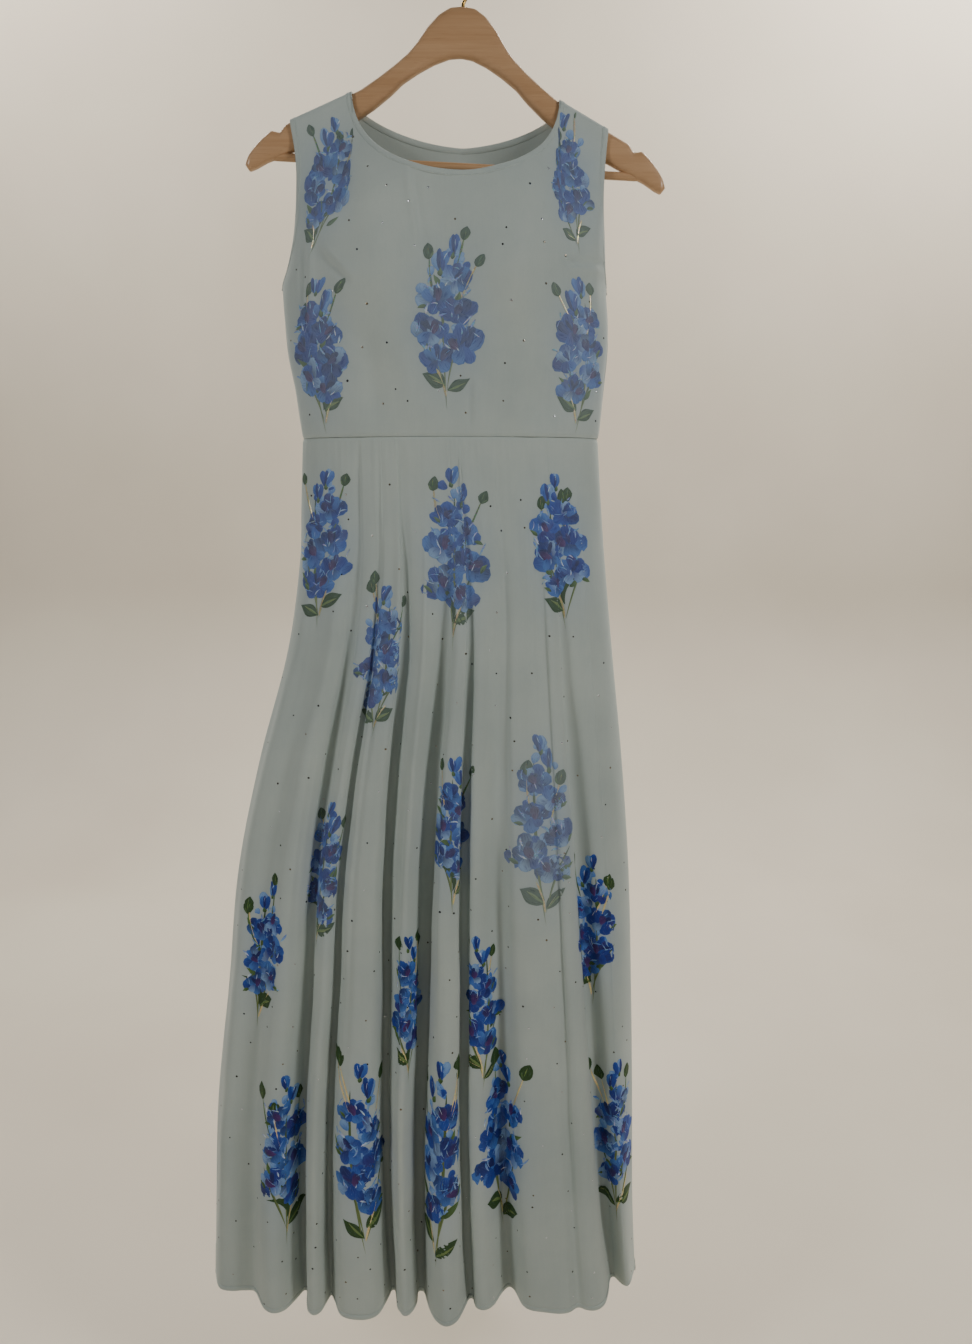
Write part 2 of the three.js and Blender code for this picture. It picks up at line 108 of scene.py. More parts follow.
def waves(u: Array, v: Array, seed: int, count: int = 7) -> Array:
    """Soft random relief between about -1 and 1: a sum of sine waves in random directions.

    Args:
        u: First coordinate, about one wave to a unit.
        v: Second coordinate.
        seed: Seed of the directions and phases.
        count: How many waves are added.

    Returns:
        The relief at each point.
    """
    rng = np.random.default_rng(seed)
    total = np.zeros(np.broadcast(u, v).shape)
    for _ in range(count):
        turn, phase, pitch = rng.uniform(0, 2 * math.pi), rng.uniform(0, 2 * math.pi), rng.uniform(0.6, 1.7)
        total += np.sin(2 * math.pi * pitch * (u * math.cos(turn) + v * math.sin(turn)) + phase)
    return total / math.sqrt(count)


def lengths_along(points: Array) -> Array:
    """Length along a line of points, from the first one to each."""
    return np.concatenate([[0], np.cumsum(np.linalg.norm(np.diff(points, axis=0), axis=1))])


def read_along(wanted: Array, known: Array, values: Array) -> Array:
    """Points or directions along a line, read at other lengths than those they are known at."""
    return np.stack([np.interp(wanted, known, values[:, k]) for k in range(3)], axis=-1)


# ---- meshes
@dataclass
class Surface:
    """Quads in millimetres, with what the finish needs at each point and corner."""

    points: Array
    quads: Array
    bake_uv: Array
    pattern_uv: Array
    fields: dict[str, Array] = field(default_factory=dict)
    colour: Array | None = None
    slots: Array | None = None

    def to_object(self, name: str, finishes: list[Material]) -> bpy.types.Object:
        """Writes the surface as a Blender mesh object at the origin.

        Args:
            name: Name of the object.
            finishes: Materials, in the order of the surface's slots.

        Returns:
            The new object, linked to the scene.
        """
        mesh = bpy.data.meshes.new(name)
        count = len(self.quads)
        mesh.vertices.add(len(self.points))
        mesh.vertices.foreach_set("co", (self.points * MM).astype(np.float32).ravel())
        mesh.loops.add(count * 4)
        mesh.loops.foreach_set("vertex_index", self.quads.astype(np.int32).ravel())
        mesh.polygons.add(count)
        mesh.polygons.foreach_set("loop_start", np.arange(0, count * 4, 4, dtype=np.int32))
        if self.slots is not None:
            mesh.polygons.foreach_set("material_index", self.slots.astype(np.int32))
        mesh.update(calc_edges=True)
        for layer_name, corners in (("OFBake", self.bake_uv), ("Pattern", self.pattern_uv)):
            layer = mesh.uv_layers.new(name=layer_name)
            layer.data.foreach_set("uv", corners.astype(np.float32).ravel())
        for field_name, values in self.fields.items():
            attribute = mesh.attributes.new(field_name, "FLOAT", "POINT")
            attribute.data.foreach_set("value", values.astype(np.float32))
        if self.colour is not None:
            attribute = mesh.attributes.new("paint", "FLOAT_COLOR", "POINT")
            attribute.data.foreach_set("color", self.colour.astype(np.float32).ravel())
        mesh.shade_smooth()
        mesh.validate()
        for finish in finishes:
            mesh.materials.append(finish)
        made = bpy.data.objects.new(name, mesh)
        bpy.context.scene.collection.objects.link(made)
        return made


def join(parts: list[Surface]) -> Surface:
    """One surface from several, their points and quads set one after another."""
    starts = np.cumsum([0] + [len(p.points) for p in parts[:-1]])
    names = parts[0].fields.keys()
    has_colour = parts[0].colour is not None
    has_slots = parts[0].slots is not None
    return Surface(
        np.concatenate([p.points for p in parts]),
        np.concatenate([p.quads + s for p, s in zip(parts, starts)]),
        np.concatenate([p.bake_uv for p in parts]),
        np.concatenate([p.pattern_uv for p in parts]),
        {n: np.concatenate([p.fields[n] for p in parts]) for n in names},
        np.concatenate([p.colour for p in parts]) if has_colour else None,
        np.concatenate([p.slots for p in parts]) if has_slots else None,
    )


def grid_quads(rows: int, columns: int, turn: int = 1) -> Array:
    """Corner numbers of a grid's cells, counted row by row.

    Args:
        rows: Points down the grid.
        columns: Points across it.
        turn: 1 for one winding, -1 for the other.

    Returns:
        An array of cells by four corners.
    """
    first = (np.arange(rows - 1)[:, None] * columns + np.arange(columns - 1)[None, :]).ravel()
    quads = np.stack([first, first + columns, first + columns + 1, first + 1], axis=1)
    return quads if turn > 0 else quads[:, ::-1]


def patch_grid(points: Array, turn: int, cells: tuple[int, int], pattern: Array) -> Surface:
    """Many small grids of one size as one surface, each with its own cell of the bake map.

    Args:
        points: Array of patches by rows by columns by three.
        turn: Winding of the quads.
        cells: Columns and rows of the bake map's cells.
        pattern: Array of patches by rows by columns by two, the pattern's coordinates.

    Returns:
        The joined surface.
    """
    number, rows, columns, _ = points.shape
    base = grid_quads(rows, columns, turn)
    quads = (base[None] + (np.arange(number) * rows * columns)[:, None, None]).reshape(-1, 4)
    across, down = cells
    cell = np.arange(number) % (across * down)
    corner = np.stack([cell % across, cell // across], axis=1) / np.array([across, down])
    local = np.stack(np.meshgrid(np.linspace(0.08, 0.92, columns), np.linspace(0.08, 0.92, rows)), axis=-1)
    uv = corner[:, None, None] + local[None] / np.array([across, down])
    flat_uv = uv.reshape(-1, 2)
    return Surface(points.reshape(-1, 3), quads, flat_uv[quads], pattern.reshape(-1, 2)[quads])


def ring_caps(ring: Array) -> Array:
    """Quads that close a ring with an even number of points."""
    half = len(ring) // 2
    return np.array([[ring[k], ring[k + 1], ring[-2 - k], ring[-1 - k]] for k in range(half - 1)])


def tube(rings: Array, pattern_step: float = 1.0) -> Surface:
    """A closed tube from rings of points that all have the same even number of points.

    Args:
        rings: Array of rings by points by three, each ring turning the same way.
        pattern_step: Length of one unit of the pattern map along the tube, in millimetres.

    Returns:
        The tube with both ends closed.
    """
    count, around, _ = rings.shape
    index = np.arange(count * around).reshape(count, around)
    nxt = np.roll(index, -1, axis=1)
    quads = np.stack([index[:-1], nxt[:-1], nxt[1:], index[1:]], axis=-1).reshape(-1, 4)
    along = lengths_along(rings.mean(axis=1))
    column, rows, shape = np.arange(around), np.arange(count - 1), (count - 1, around, 4)

    def corners(us: Array, vs: Array) -> Array:
        """The two coordinates at the four corners of every wall quad."""
        u = np.stack([us[column], us[column + 1], us[column + 1], us[column]], axis=-1)
        v = np.stack([vs[rows], vs[rows], vs[rows + 1], vs[rows + 1]], axis=-1)
        both = [np.broadcast_to(u[None], shape), np.broadcast_to(v[:, None], shape)]
        return np.stack(both, axis=-1).reshape(-1, 4, 2)

    # The wall has the bake map up to nine tenths, and the caps share a small spot above it.
    bake = corners(np.linspace(0.02, 0.98, around + 1), np.linspace(0.03, 0.9, count))
    pattern = corners(np.linspace(0, 1, around + 1), along / pattern_step)
    caps = np.concatenate([ring_caps(index[0])[:, ::-1], ring_caps(index[-1])])
    spot = np.array([[0.2, 0.93], [0.21, 0.93], [0.21, 0.94], [0.2, 0.94]])
    cap_uv = np.broadcast_to(spot, (len(caps), 4, 2))
    return Surface(rings.reshape(-1, 3), np.concatenate([quads, caps]),
                   np.concatenate([bake, cap_uv]), np.concatenate([pattern, cap_uv]))


def sweep(path: Array, radii: Array, side_axis: Array, around: int) -> Array:
    """Rings of a round tube along a path that lies square to one axis.

    Each ring is the circle of its radius in the plane square to the path: the centre plus
    cos(a) times the side axis plus sin(a) times the path's normal.

    Args:
        path: Points of the path.
        radii: Radius at each point.
        side_axis: Unit vector square to the path all along.
        around: Points in a ring.

    Returns:
        Array of rings by points by three.
    """
    forward = unit(np.gradient(path, axis=0))
    up = unit(np.cross(side_axis[None], forward))
    angle = np.arange(around) * 2 * math.pi / around
    circle = np.cos(angle)[None, :, None] * side_axis[None, None] + np.sin(angle)[None, :, None] * up[:, None]
    return path[:, None] + circle * radii[:, None, None]


# ---- the garment's sizes
class Side(Enum):
    """Which half of the garment a panel belongs to."""

    FRONT = "front"
    BACK = "back"

    @property
    def turn(self) -> int:
        """1 for the front, whose outside faces -Y, and -1 for the back."""
        return 1 if self is Side.FRONT else -1


@dataclass(frozen=True)
class Levels:
    """Cross-sections of the garment: a row for each height and a name for each column."""

    columns: tuple[str, ...]
    rows: tuple[tuple[float, ...], ...]

    def row(self, number: int) -> dict[str, float]:
        """One row, by the names of its columns."""
        return dict(zip(self.columns, self.rows[number]))

    def at(self, column: str, z: Array | float) -> Array:
        """Value of one column at heights z.

        A cubic through the rows, whose slope at a row is the mean slope of its neighbours.

        Args:
            column: Name of the column.
            z: Heights.

        Returns:
            The column's value at each height.
        """
        table = np.array(self.rows)
        heights, values = table[:, 0], table[:, self.columns.index(column)]
        last = len(heights) - 1
        low, high = np.maximum(np.arange(last + 1) - 1, 0), np.minimum(np.arange(last + 1) + 1, last)
        slopes = (values[high] - values[low]) / (heights[high] - heights[low])
        z = np.asarray(z, dtype=float)
        i = np.clip(np.searchsorted(-heights, -z, side="right") - 1, 0, last - 1)
        span = heights[i + 1] - heights[i]
        t = np.clip((z - heights[i]) / span, 0, 1)
        square, cube = t * t, t * t * t
        return ((2 * cube - 3 * square + 1) * values[i] + (cube - 2 * square + t) * span * slopes[i]
                + (3 * square - 2 * cube) * values[i + 1] + (cube - square) * span * slopes[i + 1])


BODICE_LEVELS = Levels(
    ("z", "left", "right", "front", "back", "edge", "round"),
    (
        (-140, -190, 153, 47, 42, 9, 1.25),
        (-170, -186, 151, 50, 46, 10, 1.25),
        (-205, -181, 148, 55, 50, 17, 1.25),
        (-245, -180, 146, 59, 53, 22, 1.3),
        (-285, -184, 147, 61, 54, 21, 1.45),
        (-318, -193, 150, 62, 55, 11, 1.75),
        (-338, -201, 153, 62, 55, 0, 2),
        (-400, -199, 156, 57, 53, 0, 2.1),
        (-450, -191, 152, 53, 51, 0, 2),
        (-497, -185, 147, 52, 50, 0, 2),
    ),
)

SKIRT_LEVELS = Levels(
    ("z", "left", "right", "front", "back", "seam_y"),
    (
        (-497, -185, 147, 52, 50, 0),
        (-564, -189, 152, 53, 52, 1),
        (-632, -193, 158, 55, 54, 2),
        (-736, -211, 169, 57, 56, 4),
        (-869, -250, 184, 60, 59, 6),
        (-1007, -282, 196, 62, 62, 8),
        (-1150, -300, 203, 63, 65, 10),
        (-1314, -322, 209, 64, 67, 11),
        (-1457, -332, 213, 64, 68, 12),
        (-1568, -338, 219, 64, 70, 13),
    ),
)


@dataclass(frozen=True)
class Flute:
    """One fold of the skirt: where its ridge and the valley after it start and end.

    A plain place is at the hem and a waist place at the waist seam. `half` is half the width
    of the rounded ridge, `start` the share of the drop where the fold begins, `drift` the
    power by which it moves from one place to the other, and `slit` the depth of a narrow
    groove down its valley.
    """

    waist_x: float
    x: float
    y: float
    half: float
    start: float
    valley_waist_x: float | None = None
    valley_x: float | None = None
    valley_y: float | None = None
    drift: float = 0.75
    slit: float = 0.0
    slit_width: float = 5.0


FLUTES = {
    Side.FRONT: (
        Flute(-170, -306, -30, 17, 0.1, -156, -276, -31),
        Flute(-139, -245, -63, 13, 0.08, -122, -212, -24, slit=5),
        Flute(-106, -194, -65, 8, 0.12, -93, -177, -33, slit=5),
        Flute(-84, -137, -71, 23, 0.07, -75, -98, -27, slit=7),
        Flute(-50, -80, -65, 8, 0.08, -22, -63, -26, slit=10, slit_width=8),
        Flute(-14, -28, -80, 13, 0.06, -6, 2, -42, slit=8, slit_width=7),
        Flute(4, 19, -60, 10, 0.15, 20, 52, -20),
        Flute(46, 99, -58, 27, 0.1, 70, 138, -49),
        Flute(80, 160, -53, 12, 0.08, 92, 187, -5, drift=1.5, slit=8),
        Flute(118, 204, -20, 5, 0.03, drift=1.3),
    ),
    Side.BACK: (
        Flute(-158, -296, 56, 14, 0.05, -134, -256, 34),
        Flute(-112, -209, 82, 17, 0, -88, -166, 42),
        Flute(-64, -123, 88, 14, 0.1, -42, -85, 46),
        Flute(-20, -40, 94, 20, 0, 6, 8, 48),
        Flute(28, 52, 86, 15, 0.06, 56, 97, 40),
        Flute(82, 139, 76, 13, 0, 106, 172, 34),
        Flute(124, 197, 46, 8, 0.1),
    ),
}


# ---- cloth grids
@dataclass
class ClothGrid:
    """The outer face of a panel, with its rows' places down the cloth."""

    side: Side
    points: Array
    normals: Array
    top_z: Array
    bottom_z: float
    falls: Array
    wash: Array | None = None

    def __post_init__(self) -> None:
        """Measures the length along every row from its first point."""
        steps = np.linalg.norm(np.diff(self.points, axis=1), axis=2)
        self.arc = np.concatenate([np.zeros((len(self.points), 1)), np.cumsum(steps, axis=1)], axis=1)

    @property
    def shape(self) -> tuple[int, int]:
        """Rows and columns of the grid."""
        return self.points.shape[0], self.points.shape[1]

    def sample(self, values: Array, row: Array, column: Array) -> Array:
        """Values of the grid between its points: a bilinear mix of the four round about.

        Args:
            values: Values at the grid's points.
            row: Row numbers, with fractions.
            column: Column numbers, with fractions.

        Returns:
            The values there.
        """
        rows, columns = self.shape
        r = np.clip(row, 0, rows - 1.0001)
        c = np.clip(column, 0, columns - 1.0001)
        r0, c0 = r.astype(int), c.astype(int)
        fr, fc = r - r0, c - c0
        if values.ndim == 3:
            fr, fc = fr[..., None], fc[..., None]
        above = mix(values[r0, c0], values[r0, c0 + 1], fc)
        below = mix(values[r0 + 1, c0], values[r0 + 1, c0 + 1], fc)
        return mix(above, below, fr)

    def row_at(self, z: Array, column: Array) -> Array:
        """Row number at a height on a column."""
        top = np.interp(column, np.arange(self.shape[1]), self.top_z)
        fall = (top - z) / (top - self.bottom_z)
        return np.interp(fall, self.falls, np.arange(len(self.falls)))

    def column_at(self, x: float, z: float) -> float:
        """Column whose point at height z lies nearest to x."""
        columns = np.arange(self.shape[1], dtype=float)
        row = self.row_at(np.full(len(columns), z), columns)
        return float(np.argmin(np.abs(self.sample(self.points, row, columns)[:, 0] - x)))

    def place(self, x: float, z: float, across: Array, up: Array, lift: Array) -> tuple[Array, Array]:
        """Lays flat points on the cloth.

        A point's height is the anchor's plus `up`. Its column is the one whose length along
        that row is the anchor's plus `across`, found by halving the range it lies in.

        Args:
            x: Place of the anchor across the garment.
            z: Height of the anchor.
            across: Distance of each point from the anchor along the cloth's rows.
            up: Distance of each point above the anchor.
            lift: Distance of each point above the cloth's outer face.

        Returns:
            The points laid on the cloth, and which of them ran off the panel's sides.
        """
        anchor = np.full(across.shape, self.column_at(x, z))
        heights = z + up
        low, high = np.zeros(across.shape), np.full(across.shape, self.shape[1] - 1.0)
        for _ in range(16):
            column = (low + high) / 2
            row = self.row_at(heights, column)
            short = self.sample(self.arc, row, column) < self.sample(self.arc, row, anchor) + across
            low, high = np.where(short, column, low), np.where(short, high, column)
        row = self.row_at(heights, column)
        top = np.interp(column, np.arange(self.shape[1]), self.top_z)
        off = (column < 4) | (column > self.shape[1] - 5) | (heights > top - 2)
        outward = self.sample(self.normals, row, column)
        return self.sample(self.points, row, column) + outward * lift[..., None], off

    def shell(self) -> Surface:
        """A closed wall: the outer face, an inner face the cloth's thickness inside, and rims."""
        rows, columns = self.shape
        turn = self.side.turn
        inner = self.points - self.normals * CLOTH_WALL
        points = np.concatenate([self.points.reshape(-1, 3), inner.reshape(-1, 3)])
        index = np.arange(rows * columns).reshape(rows, columns)
        shift = rows * columns
        outer_quads = grid_quads(rows, columns, turn)
        inner_quads = grid_quads(rows, columns, -turn) + shift

        def rim(edge: Array, flip: int) -> Array:
            """Quads between the two faces along one edge."""
            quads = np.stack([edge[:-1], edge[1:], edge[1:] + shift, edge[:-1] + shift], axis=1)
            return quads if flip > 0 else quads[:, ::-1]

        rims = np.concatenate([rim(index[0], turn), rim(index[-1], -turn),
                               rim(index[:, 0], -turn), rim(index[:, -1], turn)])
        # The outer face has the lower half of the bake map, the inner one the upper half, and
        # the rims a strip along its top.
        u, v = np.meshgrid(np.linspace(0.01, 0.99, columns), self.falls)
        face = np.stack([u, 0.01 + 0.47 * v], axis=-1).reshape(-1, 2)
        bake = np.concatenate([face, face + np.array([0, 0.49])])
        quads = np.concatenate([outer_quads, inner_quads, rims])
        bake_uv = bake[quads]
        strip = np.array([[0.0, 0.985], [0.002, 0.985], [0.002, 0.99], [0.0, 0.99]])
        steps = np.linspace(0.01, 0.98, len(rims))[:, None, None] * np.array([1.0, 0.0])
        bake_uv[-len(rims):] = strip[None] + steps
        flat = np.stack([self.arc, self.points[..., 2]], axis=-1).reshape(-1, 2) / 100.0
        pattern = np.concatenate([flat, flat])
        wash = np.zeros(rows * columns) if self.wash is None else self.wash.ravel()
        return Surface(points, quads, bake_uv, pattern[quads],
                       {"wash": np.concatenate([wash, wash * 0.4])})


def normals_of(points: Array, turn: int) -> Array:
    """Outward directions of a grid, from the differences between neighbours."""
    return unit(np.cross(np.gradient(points, axis=0), np.gradient(points, axis=1))) * turn


@dataclass(frozen=True)
class Crease:
    """A soft trough (depth below zero) or ridge in the cloth, from one point to another."""

    x0: float
    z0: float
    x1: float
    z1: float
    width: float
    depth: float
    bow: float = 0.0

    def relief(self, x: Array, z: Array) -> Array:
        """Height of the crease at points of the panel.

        The depth falls off as a bell curve across the line, which bows sideways as a
        parabola, and fades to nothing at both its ends.
        """
        run = np.array([self.x1 - self.x0, self.z1 - self.z0])
        length = float(np.hypot(*run))
        along = ((x - self.x0) * run[0] + (z - self.z0) * run[1]) / length ** 2
        sideways = ((x - self.x0) * run[1] - (z - self.z0) * run[0]) / length
        off_line = sideways - self.bow * 4 * along * (1 - along)
        fade = smooth(along / 0.3) * smooth((1 - along) / 0.3)
        return self.depth * np.exp(-(off_line / self.width) ** 2) * fade


# Rows of the fields of Crease.
CREASES = {side: tuple(Crease(*row) for row in rows) for side, rows in {
    Side.FRONT: (
        (-61, -222, -46, -312, 3.6, 1.7, 1), (-54, -224, -38, -330, 4.5, -1.9, 2),
        (38, -236, 30, -345, 10, -1.2, -6), (4, -428, 4, -497, 2.8, -1.3), (10, -420, 9, -497, 4, 0.9),
        (100, -319, 152, -315, 3.2, -2.0), (96, -326, 152, -323, 3.8, 1.2),
        (-162, -300, -116, -348, 3.4, -1.7), (-156, -296, -110, -342, 4.2, 1.2),
        (-172, -282, -175, -398, 3.6, -2.0, -1), (-165, -278, -167, -404, 5, 1.4, -1),
        (140, -250, 141, -390, 7, 1.8, 4), (98, -372, 84, -497, 12, -1.9, 4),
        (-112, -376, -98, -497, 13, -2.2, -5), (60, -384, 48, -497, 10, 1.6, -3),
        (-64, -384, -56, -497, 10, 1.4, 3), (-148, -176, -120, -262, 9, -1.7, 4),
        (116, -182, 100, -262, 9, -1.6, -4),
    ),
    Side.BACK: (
        (-14, -190, -20, -400, 12, -2.4, 5), (-96, -200, -74, -430, 12, 2.6, 7),
        (66, -196, 48, -420, 13, -2.6, -7), (110, -230, 96, -480, 10, 2.0, 5),
        (-198, -340, -120, -372, 8, -2.4, -5), (150, -336, 70, -366, 8, -2.4, 5),
        (-150, -230, -156, -430, 10, -2.2, -4), (20, -380, 26, -497, 8, -1.8, 3),
        (-52, -392, -46, -497, 8, 1.6, -3), (84, -400, 90, -497, 9, -1.7, 3),
        (-110, -402, -116, -497, 9, -1.8, -3),
    ),
}.items()}


@dataclass
class Bodice:
    """The upper part: front and back panels from the shoulders to the waist seam."""

    neck_centre: float = -11.0
    neck_half: float = 110.0
    neck_drop: dict[Side, float] = field(default_factory=lambda: {Side.FRONT: 90.0, Side.BACK: 38.0})
    shoulder_left: float = -187.0
    shoulder_right: float = 151.0
    waist_z: float = -496.85
    underarm_z: float = -338.0
    roll: float = 9.6
    blend: float = 130.0
    drop: float = 350.0
    breadth: float = 350.0
    shoulder_columns: int = 24
    neck_columns: int = 140
    rows: int = 106
    seam_rows: tuple[float, ...] = (5.0, 3.4, 2.2, 1.2, 0.5)
    relief_seed: dict[Side, int] = field(default_factory=lambda: {Side.FRONT: 11, Side.BACK: 12})

    def ridge(self, x: Array | float) -> Array:
        """Height of the cloth's ridge over the hanger: the lower of the two arms' lines."""
        left = -135.37 + 0.418 * (x + 112.36)
        right = -146.27 - 0.5483 * (x - 97.37)
        return np.minimum(left, right)

    def roll_depth(self, drop: Array | float) -> Array:
        """Distance from the middle as the cloth rolls over an arm: a rounded square."""
        t = np.clip(1 - np.asarray(drop) / self.roll, 0, 1)
        return self.roll * (1 - t ** 2.7) ** (1 / 2.7)

    def depth(self, side: Side, x: Array, z: Array) -> Array:
        """Distance of the panel from the middle plane.

        Below the ridge the depth rolls over the arm, then eases into the cross-section:
        edge + (full - edge) * (1 - |s|^2.2)^(1/round), with s from -1 to 1 across it.

        Args:
            side: Front or back panel.
            x: Places across.
            z: Heights.

        Returns:
            The distance at each point.
        """
        left, right = BODICE_LEVELS.at("left", z), BODICE_LEVELS.at("right", z)
        s = np.minimum(np.abs((2 * x - left - right) / (right - left)), 1)
        full = BODICE_LEVELS.at(side.value, z)
        edge = np.maximum(BODICE_LEVELS.at("edge", z), 0)
        section = edge + (full - edge) * (1 - s ** 2.2) ** (1 / BODICE_LEVELS.at("round", z))
        drop = np.maximum(0, self.ridge(x) - z)
        depth = self.roll_depth(drop) + (section - self.roll) * smooth(drop / self.blend)
        if side is Side.FRONT:
            middle = (left + right) / 2
            for offset in (-76, 76):
                depth = depth + 9 * np.exp(-((x - middle - offset) / 40) ** 2 - ((z + 322) / 52) ** 2)
        return np.maximum(depth, 0.15)

    def top_edge(self, drop: float) -> tuple[Array, Array]:
        """Places and heights of the top edge: shoulder, half-ellipse neckline, shoulder."""
        neck_left, neck_right = self.neck_centre - self.neck_half, self.neck_centre + self.neck_half
        count = self.shoulder_columns
        left = np.linspace(self.shoulder_left, neck_left, count + 1)[:-1]
        right = np.linspace(neck_right, self.shoulder_right, count + 1)[1:]
        turn = np.linspace(-1, 1, self.neck_columns + 1)
        angle = (math.pi / 2) * (1 - np.abs(turn)) ** 1.35
        neck_x = self.neck_centre + np.sign(turn) * self.neck_half * np.cos(angle)
        share = (neck_x - neck_left) / (neck_right - neck_left)
        level = mix(self.ridge(neck_left), self.ridge(neck_right), share)
        x = np.concatenate([left, neck_x, right])
        z = np.concatenate([self.ridge(left), level - drop * np.sin(angle), self.ridge(right)])
        return x, z

    def grid(self, side: Side) -> ClothGrid:
        """The outer face of one panel.

        Each column drops from the top edge to the waist, and its share of the width eases
        from where it starts to an even spread round the waist.
        """
        top_x, top_z = self.top_edge(self.neck_drop[side])
        columns = len(top_x)
        falls = np.linspace(0, 1, self.rows) ** 1.45
        falls = np.sort(np.concatenate([falls, 1 - np.array(self.seam_rows) / self.drop]))
        z = mix(top_z[None], self.waist_z, falls[:, None])
        left, right = BODICE_LEVELS.at("left", z), BODICE_LEVELS.at("right", z)
        start = (top_x - BODICE_LEVELS.at("left", top_z)) / (
            BODICE_LEVELS.at("right", top_z) - BODICE_LEVELS.at("left", top_z))
        even = 0.5 - 0.5 * np.cos(math.pi * np.arange(columns) / (columns - 1))
        share = mix(start[None], even[None], smooth(falls)[:, None])
        share[:, 0], share[:, -1] = 0, 1
        x = mix(left, right, share)
        y = -side.turn * self.depth(side, x, z)
        points = np.stack([x, y, z], axis=-1)
        step = 0.4
        slope_x = (self.depth(side, x + step, z) - self.depth(side, x - step, z)) / (2 * step)
        slope_z = (self.depth(side, x, z + step) - self.depth(side, x, z - step)) / (2 * step)
        normals = unit(np.stack([-slope_x, np.full_like(x, -side.turn), -slope_z], axis=-1))
        relief = sum(crease.relief(x, z) for crease in CREASES[side])
        relief = relief + 0.45 * waves(x / 70, z / 110, self.relief_seed[side])
        relief = relief * smooth((self.ridge(x) - z) / 30) - self.seam_dip(x, z, share)
        points = points + normals * relief[..., None]
        # The edges keep the smooth section's directions, so that the two panels still meet.
        fresh = normals_of(points, side.turn)
        keep = np.zeros(points.shape[:2], dtype=bool)
        keep[:2], keep[-1] = True, True
        keep[:, :2], keep[:, -2:] = True, True
        normals = np.where(keep[..., None], normals, fresh)
        normals[-1, :, 2] = 0
        sewn = z[:, 0] < self.underarm_z
        normals[sewn, 0, 1], normals[sewn, -1, 1] = 0, 0
        return ClothGrid(side, points, unit(normals), top_z, self.waist_z, falls)

    def seam_dip(self, x: Array, z: Array, share: Array) -> Array:
        """How far the cloth is drawn in at the waist seam and the side seams."""
        waist = 0.8 * np.exp(-((z - self.waist_z) / 2.4) ** 2)
        pucker = 0.35 * np.exp((self.waist_z - z) / 16) * (1 + np.sin(x / 2.3) * np.sin(x / 5.1 + 1))
        from_side = np.minimum(share, 1 - share) * self.breadth
        sewn = smooth((self.underarm_z - z) / 10)
        return waist + pucker * 0.5 + 0.7 * np.exp(-(from_side / 2.4) ** 2) * sewn


